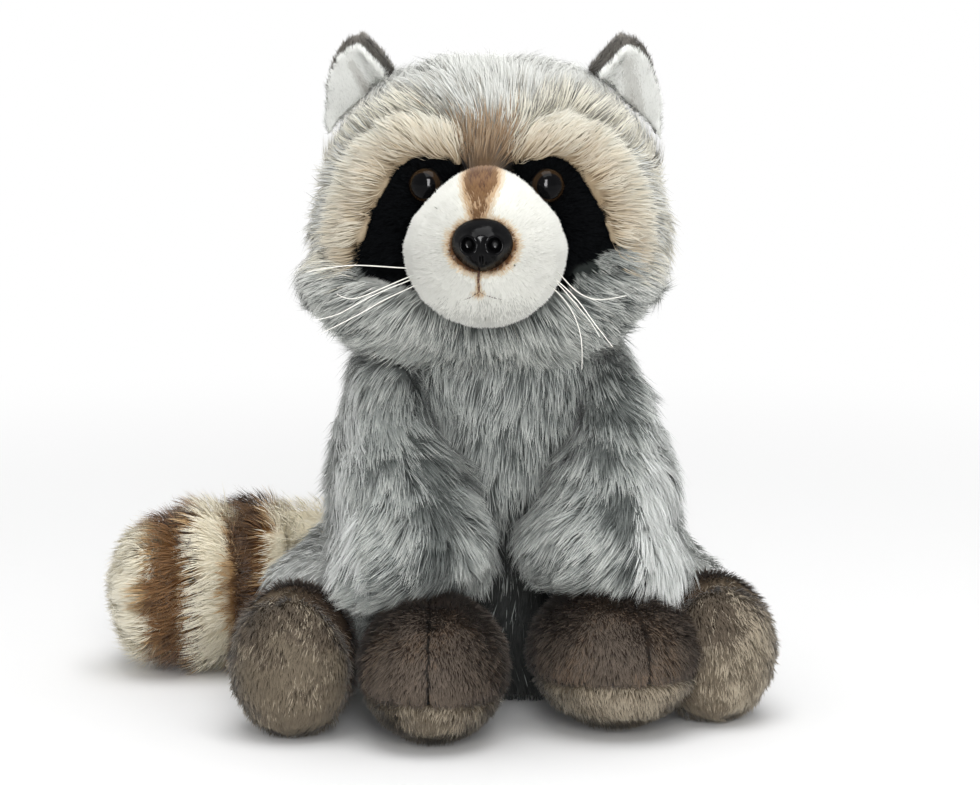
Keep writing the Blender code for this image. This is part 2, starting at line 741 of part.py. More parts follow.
# The ears: a back of brown-grey pile and a white lining, sewn edge to edge and cupped forwards
def ear_plate(side, front, back, inner_rim, outer_rim):
    """A cupped plate between two depths, narrower than the ear by a rim. Its inner edge slopes up to the
    tip, and its outer edge stands upright and rounds over."""
    across = 5
    rings = []
    for v in (0, 0.25, 0.5, 0.72, 0.88, 0.96):
        inner = max(EAR_INNER_WIDTH * (1 - v) ** 0.62 - inner_rim, 0.8 * MM)
        outer = max(EAR_OUTER_WIDTH * math.sqrt(1 - v**2.6) - outer_rim, 0.8 * MM)
        height = v * (EAR_HEIGHT - inner_rim)
        row = []
        for depth, places in ((front, range(across + 1)), (back, range(across, -1, -1))):
            for k in places:
                u = k / across * 2 - 1
                cup = EAR_CUP * (1 - u**2) * (1 - 0.5 * v)
                wide = outer if u > 0 else inner
                row.append(Vector((side * u * wide, cup + depth * (1 - 0.75 * u**6), height)))
        rings.append(row)
    tip = Vector((0, EAR_CUP * 0.5 + (front + back) / 2, EAR_HEIGHT - inner_rim))
    return lofted(rings, end=tip)


for side, word in ((-1, "right"), (1, "left")):
    base = Vector((side * EAR_BASE.x, EAR_BASE.y, EAR_BASE.z))
    pose = Matrix.Translation(base) @ Matrix.Rotation(side * EAR_TURN, 4, "Z")
    pose = pose @ Matrix.Rotation(side * EAR_LEAN, 4, "Y")
    back = ear_plate(side, 0.25 * MM, EAR_BACK_THICKNESS, 0.0, 0.0)
    lining = ear_plate(side, -EAR_LINING_THICKNESS, -0.25 * MM, 3.5 * MM, 1.5 * MM)
    ear = add_object("ear_back_" + word, back, brown_grey, head_pose, pose)
    lined = add_object("ear_lining_" + word, lining, white_short, head_pose, pose)
    combine(ear, "DIFFERENCE", head_twin)
    combine(lined, "DIFFERENCE", head_twin)

# The forelegs: sleeves of long pile from the shoulders down over the paws
ARMS = {
    "right": [
        Vector((-42, -16, 128, 19, 22)) * MM,
        Vector((-45, -30, 106, 21, 25)) * MM,
        Vector((-38, -48, 80, 27.5, 27)) * MM,
        Vector((-32, -60, 60, 29.5, 28)) * MM,
    ],
    "left": [
        Vector((36, -14, 128, 18, 22)) * MM,
        Vector((44, -26, 106, 20, 25)) * MM,
        Vector((40, -42, 80, 28, 27)) * MM,
        Vector((35, -52, 60, 33, 28)) * MM,
    ],
}
arm_twins = {}
for word, stations in ARMS.items():

    def arm_form(grow, stations=stations, seed=3.0 if word == "right" else 4.0):
        return tube(stations, 0, 16, (0, 1, 0), (0.6, 0.35), COAT, seed, grow)

    cutters = [torso_twin, head_twin, *arm_twins.values()]
    _, arm_twins[word] = stuffed("arm_" + word, arm_form, grey_coat, cutters)


# The paws and feet: round bags of short pile, each with a paler sole panel sewn below or in front
def seamed_shape(way):
    """A shallow crease runs over the middle of the paw from the wrist to the toes."""
    crease = PAW_SEAM_DEPTH * math.exp(-((way.x / 0.1) ** 2)) * max(0.0, 0.6 * way.z - way.y) ** 0.5
    return Vector([w * r for w, r in zip(way, PAW_RADII)]) * (1 - crease)


def paw_mesh(centre, turn, grow, shape):
    pose = Matrix.Translation(centre) @ Euler((0, 0, turn)).to_matrix().to_4x4()
    mesh = ball(Vector(), shape, 8, 18, (0, 0, 1), grow=grow)
    mesh.transform(pose)
    return mesh


# Each paw's centre and turn, and how high its sole's seam is at the toes
PAWS = {
    "right": (Vector((-26, -75, 27)) * MM, 0.0, 20 * MM),
    "left": (Vector((40, -58, 28)) * MM, math.radians(20), 23 * MM),
}
paw_twins = {}
for word, (centre, turn, sole_height) in PAWS.items():

    def paw_form(grow, centre=centre, turn=turn):
        return paw_mesh(centre, turn, grow, seamed_shape)

    forward = Matrix.Rotation(turn, 3, "Z") @ Vector((0, -1, 0))
    seam_normal = Vector((0, 0, 1)) - forward * math.tan(SOLE_SLOPE)
    seam_point = centre + forward * PAW_RADII.y
    seam_point.z = sole_height
    upper = cut_flat(paw_form(0.0), 0, True, seam_normal, seam_point + seam_normal * SEAM_GAP / 2)
    lower = cut_flat(paw_form(0.0), 0, False, seam_normal, seam_point - seam_normal * SEAM_GAP / 2)
    cut_flat(upper, FLOOR)
    cut_flat(lower, FLOOR)
    paw = add_object("paw_" + word, upper, dark_paw)
    sole = add_object("paw_sole_" + word, lower, taupe_sole)
    twin = seam_twin("paw_" + word, paw_form)
    combine(paw, "DIFFERENCE", torso_twin, *arm_twins.values(), *paw_twins.values())
    combine(sole, "DIFFERENCE", torso_twin, *paw_twins.values())
    paw_twins[word] = twin

# The hind legs: fat haunches beside the body, and feet that stand on their heels, soles to the front
LEGS = {
    "right": [Vector((-44, 14, 36, 34, 35)) * MM, Vector((-62, -18, 36, 30, 31)) * MM,
              Vector((-73, -44, 31, 25, 27)) * MM],
    "left": [Vector((46, 16, 36, 34, 35)) * MM, Vector((63, -6, 35, 30, 31)) * MM,
             Vector((73, -26, 30, 25, 27)) * MM],
}
FEET = {
    "right": (Vector((-77, -66, 28)) * MM, math.radians(-10)),
    "left": (Vector((77, -44, 27)) * MM, math.radians(14)),
}
for word, (centre, turn) in FEET.items():

    def foot_form(grow, centre=centre, turn=turn):
        return paw_mesh(centre, turn, grow, ellipsoid(FOOT_RADII))

    def leg_form(grow, stations=LEGS[word]):
        return tube(stations, 0, 14, (0, 0, 1), (0.8, 0.3), COAT, 5.0, grow)

    forward = Matrix.Rotation(turn, 3, "Z") @ Vector((0, -1, -0.12))
    seam_point = centre + forward * (FOOT_RADII.y - FOOT_SOLE_INSET)
    rear = cut_flat(foot_form(0.0), 0, False, forward, seam_point - forward * SEAM_GAP / 2)
    front = cut_flat(foot_form(0.0), 0, True, forward, seam_point + forward * SEAM_GAP / 2)
    cut_flat(rear, FLOOR)
    cut_flat(front, FLOOR)
    foot = add_object("foot_" + word, rear, dark_paw)
    sole = add_object("foot_sole_" + word, front, taupe_sole)
    twin = seam_twin("foot_" + word, foot_form)
    combine(foot, "DIFFERENCE", paw_twins[word], arm_twins[word])
    combine(sole, "DIFFERENCE", paw_twins[word])
    cutters = [torso_twin, arm_twins[word], paw_twins[word], twin]
    leg, leg_twin = stuffed("leg_" + word, leg_form, pale_coat, cutters, flat=True)
    if word == "right":
        right_leg_twin = leg_twin

# The tail: five strips of long pile sewn end to end, from the back of the body round to its right side
TAIL = [
    Vector((-12, 34, 34, 17, 19)) * MM,
    Vector((-50, 48, 33, 26, 28)) * MM,
    Vector((-84, 42, 35, 32.5, 33.5)) * MM,
    Vector((-114, 33, 35, 33, 34)) * MM,
    Vector((-134, 28, 35, 31, 32.5)) * MM,
    Vector((-148, 25, 34, 24, 26)) * MM,
]
TAIL_WIDTHS = (TAIL_TIP_WIDTH, OUTER_RING_WIDTH, TAIL_BAND_WIDTH, INNER_RING_WIDTH)
TAIL_SEAMS = [TAIL[-1].x + sum(TAIL_WIDTHS[:count]) for count in (4, 3, 2, 1)]
TAIL_STRIPS = ("tail_root", "tail_ring_inner", "tail_band", "tail_ring_outer", "tail_tip")
TAIL_COLOURS = (cream_pile, tail_brown, cream_pile, tail_brown, cream_pile)
tail_line = smooth_between(TAIL, 12)


def tail_seam(x):
    """The place where the tail crosses an X, and the direction in which it runs there."""
    at = min(range(1, len(tail_line) - 1), key=lambda k: abs(tail_line[k].x - x))
    run = Vector((tail_line[at + 1] - tail_line[at - 1])[:3]).normalized()
    return Vector(tail_line[at][:3]), run


for k, (name, material) in enumerate(zip(TAIL_STRIPS, TAIL_COLOURS)):
    strip_mesh = tube(TAIL, 0, 16, (0, 0, 1), (0, 0.5), BRUSH, 6.0)
    if k:
        point, run = tail_seam(TAIL_SEAMS[k - 1])
        cut_flat(strip_mesh, 0, True, run, point + run * SEAM_GAP / 2)
    if k < len(TAIL_SEAMS):
        point, run = tail_seam(TAIL_SEAMS[k])
        cut_flat(strip_mesh, 0, False, run, point - run * SEAM_GAP / 2)
    strip = add_object(name, cut_flat(strip_mesh, FLOOR), material)
    if k < 3:
        combine(strip, "DIFFERENCE", right_leg_twin)
    if not k:
        combine(strip, "DIFFERENCE", torso_twin)
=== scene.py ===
import math
from collections import namedtuple

import bpy
import numpy as np
from mathutils import Matrix, Vector
from mathutils.bvhtree import BVHTree
from mathutils.kdtree import KDTree


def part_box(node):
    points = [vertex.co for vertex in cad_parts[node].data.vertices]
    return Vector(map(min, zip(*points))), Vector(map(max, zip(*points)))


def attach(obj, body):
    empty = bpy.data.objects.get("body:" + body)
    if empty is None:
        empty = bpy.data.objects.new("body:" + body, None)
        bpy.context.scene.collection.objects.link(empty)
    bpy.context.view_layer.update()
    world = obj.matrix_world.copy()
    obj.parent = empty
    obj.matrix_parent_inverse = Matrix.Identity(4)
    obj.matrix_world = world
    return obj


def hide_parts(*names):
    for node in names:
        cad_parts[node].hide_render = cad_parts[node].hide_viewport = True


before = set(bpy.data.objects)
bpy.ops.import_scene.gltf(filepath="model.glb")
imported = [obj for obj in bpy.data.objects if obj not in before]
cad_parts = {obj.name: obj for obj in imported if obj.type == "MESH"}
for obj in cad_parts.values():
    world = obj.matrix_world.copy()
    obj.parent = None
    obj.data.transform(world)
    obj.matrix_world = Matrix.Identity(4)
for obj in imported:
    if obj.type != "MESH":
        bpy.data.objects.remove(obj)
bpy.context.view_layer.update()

MM = 0.001
SIDES = ("right", "left")


def colour(red, green, blue):
    """A surface colour from its 0 to 255 screen values."""
    linear = []
    for value in (red, green, blue):
        share = value / 255
        linear.append(share / 12.92 if share <= 0.04045 else ((share + 0.055) / 1.055) ** 2.4)
    return (*linear, 1.0)


def tones(*levels):
    """A shade of pile: its colours at the root, middle and tip of a strand."""
    return tuple(colour(*level) for level in levels)


class Wire:
    """A socket that a node gives out. Sums written with it add Math nodes."""

    def __init__(self, tree, socket):
        self.tree = tree
        self.socket = socket

    @classmethod
    def node(cls, tree, kind, settings=None, values=None, output=0):
        """Adds a node: first its settings, then a value or a wire for each named or numbered socket."""
        made = tree.nodes.new("ShaderNode" + kind)
        for key, value in (settings or {}).items():
            if key == "stops":
                ramp = made.color_ramp
                while len(ramp.elements) < len(value):
                    ramp.elements.new(1.0)
                for element, (place, shade) in zip(ramp.elements, value):
                    element.position = place
                    element.color = shade
            elif key == "between":
                made.color_ramp.interpolation = value
            else:
                setattr(made, key, value)
        for key, value in (values or {}).items():
            if isinstance(value, Wire):
                tree.links.new(value.socket, made.inputs[key])
            else:
                made.inputs[key].default_value = value
        return cls(tree, made.outputs[output])

    def sum(self, operation, first, second=0.0):
        return self.node(self.tree, "Math", {"operation": operation}, {0: first, 1: second})

    def __add__(self, other):
        return self.sum("ADD", self, other)

    def __radd__(self, other):
        return self.sum("ADD", other, self)

    def __sub__(self, other):
        return self.sum("SUBTRACT", self, other)

    def __rsub__(self, other):
        return self.sum("SUBTRACT", other, self)

    def __mul__(self, other):
        return self.sum("MULTIPLY", self, other)

    def __rmul__(self, other):
        return self.sum("MULTIPLY", other, self)

    def __truediv__(self, other):
        return self.sum("DIVIDE", self, other)

    def ramp(self, low, high):
        """0 below low, 1 above high, and smooth between them."""
        settings = {"interpolation_type": "SMOOTHSTEP"}
        values = {"Value": self, "From Min": low, "From Max": high}
        return self.node(self.tree, "MapRange", settings, values)

    def fraction(self):
        return self.sum("FRACT", self)

    def scaled(self, factor):
        """A colour made lighter or darker by a factor."""
        return self.node(self.tree, "VectorMath", {"operation": "SCALE"}, {0: self, "Scale": factor})


def mixed(tree, factor, first, second):
    """A blend of two colours, from the first at 0 to the second at 1."""
    return Wire.node(tree, "Mix", {"data_type": "RGBA"}, {0: factor, 6: first, 7: second}, output=2)


def finish_of(name, roughness, specular=0.3):
    """A new material, its node tree and its surface shader."""
    material = bpy.data.materials.new(name)
    material.use_nodes = True
    shader = material.node_tree.nodes["Principled BSDF"]
    shader.inputs["Roughness"].default_value = roughness
    shader.inputs["Specular IOR Level"].default_value = specular
    return material, material.node_tree, shader


def backing_cloth(name):
    """The knitted backing that the pile grows from, dyed with it, and darkened in a fine noise as painted
    shade for the dips of its knit.
    """
    material, tree, shader = finish_of(name, 0.95, 0.02)
    place = Wire.node(tree, "TexCoord", output=3)
    knit = Wire.node(tree, "TexNoise", None, {"Vector": place, "Scale": 900.0, "Detail": 2.0})
    dye = Wire.node(tree, "Attribute", {"attribute_name": "dye"})
    tree.links.new(dye.scaled(0.7 + 0.35 * knit).socket, shader.inputs["Base Color"])
    return material


# A dyed pile: the record's slot, its material, and the colours of each shade at root, middle and tip
Cloth = namedtuple("Cloth", "slot material shades")


def pile_cloth(slot, name, shades, roughness=0.8, sheen=0.25, uneven=0.3, specular=0.15):
    """Dyed pile. A strand's lane across the fur's own map says which shade it has and how light it is,
    and its length runs up the map."""
    material, tree, shader = finish_of(name, roughness, specular)
    shader.inputs["Sheen Weight"].default_value = sheen
    shader.inputs["Sheen Roughness"].default_value = 0.5
    fur_map = Wire.node(tree, "UVMap", {"uv_map": "OFBake"})
    lane = Wire.node(tree, "SeparateXYZ", None, {0: fur_map}, output=0)
    along = Wire.node(tree, "SeparateXYZ", None, {0: fur_map}, output=1)
    levels = []
    for level in range(3):
        stops = [(k / len(shades), shade[level]) for k, shade in enumerate(shades)]
        settings = {"between": "CONSTANT", "stops": stops if len(stops) > 1 else stops * 2}
        levels.append(Wire.node(tree, "ValToRGB", settings, {"Fac": lane}))
    root, middle, tip = levels
    # Strands darken towards the root, partly the pile's own tipped colour and partly painted shade deep in
    # the pile
    strand = mixed(tree, along.ramp(0.0, 0.5), root, middle)
    strand = mixed(tree, along.ramp(0.45, 1.0), strand, tip)
    light = (lane * len(shades)).fraction() * uneven + (1 - uneven / 2)
    tree.links.new(strand.scaled(light).socket, shader.inputs["Base Color"])
    return Cloth(slot, material, shades)


def pick(*pieces):
    """Leaves only these pieces selected, the first of them active."""
    bpy.ops.object.select_all(action="DESELECT")
    for piece in pieces:
        piece.select_set(True)
    bpy.context.view_layer.objects.active = pieces[0]


def apply_modifier(piece, kind, **settings):
    """Adds a modifier and applies it."""
    modifier = piece.modifiers.new(kind, kind)
    for key, value in settings.items():
        setattr(modifier, key, value)
    pick(piece)
    bpy.ops.object.modifier_apply(modifier=modifier.name)


def added(name, data):
    """A new object in the scene."""
    piece = bpy.data.objects.new(name, data)
    bpy.context.scene.collection.objects.link(piece)
    return piece


def reshape(piece, corners):
    """Moves the corners of a piece and shades it smooth."""
    piece.data.vertices.foreach_set("co", corners.astype(np.float32).ravel())
    piece.data.update()
    piece.data.shade_smooth()


def dress(piece, slot, *nodes):
    """Ties a piece to the body and hides the nodes that it takes the place of. Its slot is not used."""
    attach(piece, "root")
    if nodes:
        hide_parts(*nodes)


WELD = 0.02 * MM


def copy_of(node, name):
    """A copy of a node's solid whose loose triangles are joined up."""
    piece = added(name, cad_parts[node].data.copy())
    piece.data.materials.clear()
    pick(piece)
    bpy.ops.object.mode_set(mode="EDIT")
    bpy.ops.mesh.select_all(action="SELECT")
    bpy.ops.mesh.remove_doubles(threshold=WELD)
    bpy.ops.mesh.normals_make_consistent(inside=False)
    bpy.ops.object.mode_set(mode="OBJECT")
    return piece


def surface_of(mesh):
    """The corners of a mesh, the way out at each of them, and its triangles."""
    corners = np.empty(len(mesh.vertices) * 3, np.float32)
    mesh.vertices.foreach_get("co", corners)
    outward = np.empty(len(mesh.vertices) * 3, np.float32)
    mesh.vertex_normals.foreach_get("vector", outward)
    mesh.calc_loop_triangles()
    triangles = np.empty(len(mesh.loop_triangles) * 3, np.int32)
    mesh.loop_triangles.foreach_get("vertices", triangles)
    return corners.reshape(-1, 3), outward.reshape(-1, 3), triangles.reshape(-1, 3)


def unit(ways):
    """The same directions, each of length 1."""
    return ways / np.maximum(np.linalg.norm(ways, axis=-1, keepdims=True), 1e-9)


solids = {}
for node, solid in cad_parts.items():
    if not node.startswith("whisker"):
        corners, _, triangles = surface_of(solid.data)
        tree = BVHTree.FromPolygons(corners.tolist(), triangles.tolist())
        solids[node] = (corners.min(0), corners.max(0), tree)

# How deep the piles of the long-coated solids let another piece show
SHAGGY = ("torso", "head", "arm", "leg", "tail")
SHAGGY_DEPTH = 6 * MM
CLOSE_DEPTH = 0.6 * MM


def is_covered(points, own):
    """Which points are out of sight inside the toy's other solids, or below the table."""
    inside = points[:, 2] < 0
    for node, (low, high, tree) in solids.items():
        if node in own:
            continue
        depth = SHAGGY_DEPTH if node.startswith(SHAGGY) else CLOSE_DEPTH
        near = np.flatnonzero(((points > low) & (points < high)).all(1) & ~inside)
        for k in near:
            point = Vector(points[k])
            place, normal, _, _ = tree.find_nearest(point)
            inside[k] = (point - place).dot(normal) < -depth
    return inside


def dye_cover(cover, cloth, shading, level):
    """Dyes a cover with its pile's colours at a level: 0 at the roots, 1 halfway, 2 at the tips."""
    corners, outward, _ = surface_of(cover.data)
    colours = np.array([shade[level] for shade in cloth.shades])
    weights = np.ones((len(corners), 1)) if shading is None else shading(corners, outward)
    colours = weights @ colours / weights.sum(1, keepdims=True)
    dye = cover.data.color_attributes.new("dye", "FLOAT_COLOR", "POINT")
    dye.data.foreach_set("color", colours.astype(np.float32).ravel())


def cover_of(node, cloth, grain, rounding, inset, inward=None, shading=None, level=0):
    """The backing of a stuffed node: its solid closed up, rounded and drawn in to where the pile is
    rooted, square to the cloth or by a rule for the way in."""
    cover = copy_of(node, node + "_cover")
    apply_modifier(cover, "REMESH", mode="VOXEL", voxel_size=grain)
    apply_modifier(cover, "SMOOTH", factor=0.5, iterations=rounding)
    corners, outward, _ = surface_of(cover.data)
    corners = corners + (-outward if inward is None else inward(corners)) * inset
    corners[:, 2] = np.maximum(corners[:, 2], 0.0)
    reshape(cover, corners)
    dye_cover(cover, cloth, shading, level)
    cover.data.materials.append(backing_cloth(node + "_backing"))
    dress(cover, cloth.slot, node)
    return cover


# A pile's cut: the length and width of a strand, how steeply it leaves the cloth and how steeply it
# ends, the size of its locks, how far strands gather in them, how far strands and locks fan out, and
# the share by which lengths differ
Pile = namedtuple("Pile", "length width rise fall lock gather stray fan uneven")
COAT = Pile(13.5 * MM, 0.32 * MM, 42, 8, 3.2 * MM, 0.36, 7, 6, 0.17)
LANES = 8
SHORTEST, LONGEST = 0.45, 1.5
STRAND_ROLL = 22
TABLE_CLEARANCE = 0.3 * MM
UNDERSIDE = 2 * MM


def rooted_at(cover, count, reach, own, rng, keep=None):
    """Seeded places on the open faces of a cover, and the way out at each."""
    corners, outward, triangles = surface_of(cover.data)
    a, b, c = (corners[triangles[:, k]] for k in range(3))
    normal = np.cross(b - a, c - a)
    area = np.linalg.norm(normal, axis=1) / 2
    middle = (a + b + c) / 3
    normal = unit(normal)
    area[is_covered(middle + normal * reach, own)] = 0
    area[(middle[:, 2] < UNDERSIDE) & (normal[:, 2] < -0.7)] = 0
    if keep is not None:
        area *= keep(middle, normal)
    ends = np.cumsum(area)
    face = np.minimum(np.searchsorted(ends, rng.random(count) * ends[-1]), len(area) - 1)
    along, across = rng.random((2, count, 1))
    turn = np.sqrt(along)
    shares = (1 - turn, turn * (1 - across), turn * across)
    places = sum(s * corners[triangles[face, k]] for k, s in enumerate(shares))
    ways = unit(sum(s * outward[triangles[face, k]] for k, s in enumerate(shares)))
    return places, ways, ends[-1]


def leaning(ways, comb, angle):
    """A direction that stands at an angle, in degrees, over the cloth and leans along the comb."""
    angle = np.radians(angle)[:, None]
    return ways * np.sin(angle) + comb * np.cos(angle)


def combed(comb, places, ways, turn):
    """The comb's direction at each place, laid in the cloth and turned aside by so many degrees."""
    flat = comb(places, ways)
    flat = unit(flat - ways * (flat * ways).sum(1, keepdims=True))
    turn = np.radians(turn)[:, None]
    return flat * np.cos(turn) + np.cross(ways, flat) * np.sin(turn)


def drift(places, size, seed):
    """A smooth wander between about -1 and 1 that turns over in roughly that size."""
    waves = np.random.default_rng(seed).normal(0, 1, (5, 4))
    return sum(np.sin(places @ wave[:3] * (2.2 / size) + 7 * wave[3]) for wave in waves) / 2.2


def grow_pile(cover, cloth, pile, count, comb, seed, own=(), shading=None, keep=None, bent=True, sway=14):
    """Pile on a cover, as blades that bend halfway up, or are straight where the pile is short. Strands
    lean in to the middle of their lock, whose sides are shaded as if it were round."""
    node = cover.name.removesuffix("_cover")
    own = {node, *own}
    rng = np.random.default_rng(seed)
    reach = pile.length * 0.3
    roots, ways, area = rooted_at(cover, count, reach, own, rng, keep)
    locks = max(8, int(area / pile.lock**2))
    centres, centre_ways, _ = rooted_at(cover, locks, reach, own, rng, keep)

    lock_turn = rng.normal(0, pile.fan, locks) + sway * drift(centres, 20 * MM, seed)
    lock_lift = rng.normal(0, 2, locks) + 0.45 * sway * drift(centres, 12 * MM, seed + 1)
    lock_length = pile.length * (1 + rng.normal(0, pile.uneven * 0.4, locks))
    wander = drift(centres, 12 * MM, seed + 2)
    lock_tone = np.clip(0.5 + 0.17 * rng.normal(0, 1, locks) + 0.2 * wander, 0, 1)
    lock_comb = combed(comb, centres, centre_ways, lock_turn)
    lock_first = leaning(centre_ways, lock_comb, pile.rise + lock_lift)
    lock_second = leaning(centre_ways, lock_comb, pile.fall + lock_lift)
    lock_middle = centres + lock_first * lock_length[:, None] * 0.5
    lock_tip = lock_middle + lock_second * lock_length[:, None] * 0.5

    tree = KDTree(locks)
    for k, centre in enumerate(centres.tolist()):
        tree.insert(centre, k)
    tree.balance()
    home = np.array([tree.find(root)[1] for root in roots.tolist()])

    along = combed(comb, roots, ways, lock_turn[home] + rng.normal(0, pile.stray, count))
    lift = lock_lift[home] + rng.normal(0, pile.stray * 0.6, count)
    first = leaning(ways, along, pile.rise + lift)
    second = leaning(ways, along, pile.fall + lift)
    length = lock_length[home] * (1 + rng.normal(0, pile.uneven, count))
    length = np.clip(length, pile.length * SHORTEST, pile.length * LONGEST)[:, None]
    gather = pile.gather * rng.uniform(0.5, 1.3, (count, 1))
    middle = roots + first * length * 0.5
    tip = middle + second * length * 0.5
    middle += (lock_middle[home] - middle) * gather * 0.4
    tip += (lock_tip[home] - tip) * gather
    tip[:, 2] = np.maximum(tip[:, 2], TABLE_CLEARANCE)
    middle[:, 2] = np.maximum(middle[:, 2], TABLE_CLEARANCE)

    run = unit(tip - roots)
    side = unit(np.cross(run, ways))
    up = np.cross(side, run)
    roll = np.radians(rng.normal(0, STRAND_ROLL, (count, 1)))
    side, up = side * np.cos(roll) + up * np.sin(roll), up * np.cos(roll) - side * np.sin(roll)
    half = side * (pile.width / 2) * rng.uniform(0.75, 1.25, (count, 1))
    aside = roots - centres[home]
    aside = aside - ways * (aside * ways).sum(1, keepdims=True)
    shine = unit(ways + 1.6 * pile.gather * aside / pile.lock + (0.1 + 0.6 * pile.gather) * up)

    if shading is None:
        shade, shades = np.zeros(count, int), 1
    else:
        weights = np.cumsum(shading(roots, ways), axis=1)
        toss = (0.4 * lock_tone[home] + 0.6 * rng.random(count)) * weights[:, -1]
        shade, shades = (toss[:, None] > weights).sum(1), weights.shape[1]
        shade = np.minimum(shade, shades - 1)
    tone = np.clip(0.5 * lock_tone[home] + 0.5 * rng.random(count), 0, 0.999)
    lane = (shade + np.floor(tone * LANES) / LANES) / shades
    wide = 1 / (LANES * shades)

    if bent:
        corners = np.stack([roots, middle - half, middle + half, tip], 1)
        heights, sides = (0, 0.5, 0.5, 1), (0.5, 0.08, 0.92, 0.5)
        faces = (0, 2, 1, 1, 2, 3)
    else:
        corners = np.stack([roots - half, roots + half, tip], 1)
        heights, sides = (0, 0, 1), (0.08, 0.92, 0.5)
        faces = (0, 1, 2)
    each = corners.shape[1]
    loops = (np.arange(count)[:, None] * each + np.array(faces)).ravel()
    starts = np.arange(0, len(loops), 3)
    data = bpy.data.meshes.new(node + "_pile")
    data.vertices.add(count * each)
    data.vertices.foreach_set("co", corners.astype(np.float32).ravel())
    data.loops.add(len(loops))
    data.loops.foreach_set("vertex_index", loops.astype(np.int32))
    data.polygons.add(len(starts))
    data.polygons.foreach_set("loop_start", starts.astype(np.int32))
    data.update(calc_edges=True)
    data.shade_smooth()
    places = np.stack([lane[:, None] + wide * np.array(sides), np.tile(heights, (count, 1))], 2)
    fur_map = data.uv_layers.new(name="OFBake")
    fur_map.uv.foreach_set("vector", places.reshape(-1, 2)[loops].astype(np.float32).ravel())
    data.normals_split_custom_set_from_vertices(np.repeat(shine, each, axis=0).astype(np.float32))
    data.materials.append(cloth.material)
    fur = added(node + "_pile", data)
    fur.parent = cover


# The torso is a pear-shaped bag of long-pile plush over fibre filling. The knitted backing is sewn
# inside out and turned, and its silver-tipped pile is brushed down, so that it gathers in soft locks.
GREY = tones((52, 56, 55), (142, 147, 144), (218, 221, 216))
STEEL = tones((28, 32, 32), (68, 73, 71), (140, 145, 142))
# painted rim light: a pale shade for the arms' outer sides, where light comes through the fur's edge
PAINTED_RIM_LIGHT = tones((150, 153, 150), (205, 208, 205), (232, 234, 232))
# painted shadow: the darkest shade, for the fork low in front between the forelegs
PAINTED_FORK_SHADOW = tones((12, 13, 13), (28, 30, 29), (60, 63, 61))
grey_pile = pile_cloth("grey_coat", "grey_coat_pile", [GREY, STEEL, PAINTED_RIM_LIGHT, PAINTED_FORK_SHADOW])


def step(value, low, high):
    """0 below low, 1 above high, and smooth between them."""
    share = np.clip((value - low) / (high - low), 0, 1)
    return share * share * (3 - 2 * share)


def shares_of(*columns):
    """Shares of a cloth's shades, a column for each, of which none is quite 0."""
    return np.stack(np.broadcast_arrays(*columns), 1) + 1e-4


def brushed_down(places, ways):
    """Down the body, and a little outwards."""
    return np.array([0, 0, -1.0]) + ways * np.array([0.3, 0.3, 0])


def grey_shares(dark, rim_light, fork=0):
    """Shares of grey and darker strands, of pale strands that are painted rim light, and of the strands in
    the fork that are painted dark as shadow.
    """
    dark, rim_light = np.clip(dark, 0.02, 1), np.clip(rim_light, 0, 0.9)
    shares = np.stack([np.maximum(1 - dark - rim_light, 0.02), dark, rim_light], 1) * (1 - fork)[:, None]
    return np.column_stack([shares, fork]) + 1e-4


def torso_shading(places, ways):
    """Grey with darker patches, and painted shadow low in front, between the paws."""
    x, y, z = places.T / MM
    # painted shadow: strands low in front between the paws take the fork's dark shade
    fork = 0.85 * (1 - step(z, 55, 88)) * (1 - step(np.abs(x + 3), 20, 32)) * (y < 0)
    return grey_shares(0.24 + 0.2 * drift(places, 9 * MM, 3), 0 * x, fork)


def into_torso(corners):
    """Straight in from the front and back, and further in low in front, where the fork is."""
    x, y, z = corners.T / MM
    facing = step(y, 20, 40) - step(-y, -5, 20)
    fork = 2.4 * (1 - step(z, 60, 95)) * step(-y, 0, 20)
    neck = 1 - 0.9 * step(z, 112, 134)
    return np.stack([-x / 60 * neck, -facing * (0.8 * neck + fork), -0.5 * step(z, 120, 160) * neck], 1)


torso_cover = cover_of("torso", grey_pile, 4.5 * MM, 8, 6 * MM, into_torso, torso_shading, 1)
grow_pile(torso_cover, grey_pile, COAT, 48000, brushed_down, 11, shading=torso_shading)

# The head is a bag of the same plush, longer round the jaw, where it makes a ruff. The pile flows out
# from the face on every side and down at the back. The crown is nearly white, and the blaze is brown.
HEAD_CENTRE = Vector((-5, -25, 182.4)) * MM
HEAD_TURN = math.radians(-2.4)
HEAD_POSE = Matrix.Translation(HEAD_CENTRE) @ Matrix.Rotation(HEAD_TURN, 4, "Z")
RUFF = Pile(12.5 * MM, 0.32 * MM, 40, 8, 3 * MM, 0.28, 8, 5, 0.17)
PALE = tones((172, 173, 168), (199, 200, 195), (218, 219, 215))
SILVER = tones((54, 58, 56), (140, 144, 140), (216, 218, 212))
STREAK = tones((96, 95, 88), (140, 138, 130), (190, 188, 180))
BLAZE = tones((92, 72, 54), (134, 110, 84), (176, 156, 130))
CREAM = tones((198, 193, 176), (212, 208, 193), (224, 222, 211))
DUSK = tones((16, 13, 11), (34, 27, 22), (84, 70, 56))
pale_pile = pile_cloth("pale_coat", "pale_coat_pile", [PALE, SILVER, STREAK, BLAZE, CREAM, STEEL, DUSK])
EAR_CLEARANCE = 1 * MM
EAR_LININGS = ("ear_lining_right", "ear_lining_left")
MASKS = ("mask_right", "mask_left")


def in_head(places):
    """Places in the head's own frame, in millimetres from its middle, with the face towards -Y."""
    turn = np.array(HEAD_POSE.to_3x3())
    return (places - np.array(HEAD_CENTRE)) @ turn / MM


def turned_with_head(ways):
    """Directions in the head's frame, as they point on the toy."""
    return ways @ np.array(HEAD_POSE.to_3x3()).T


def towards(centre, wide=0.0):
    """The ways in from the corners of a cover to a centre, or out where it is wider at the sides."""
    return lambda corners: unit(np.array(centre) - corners) * np.array([1 - wide, 1, 1])


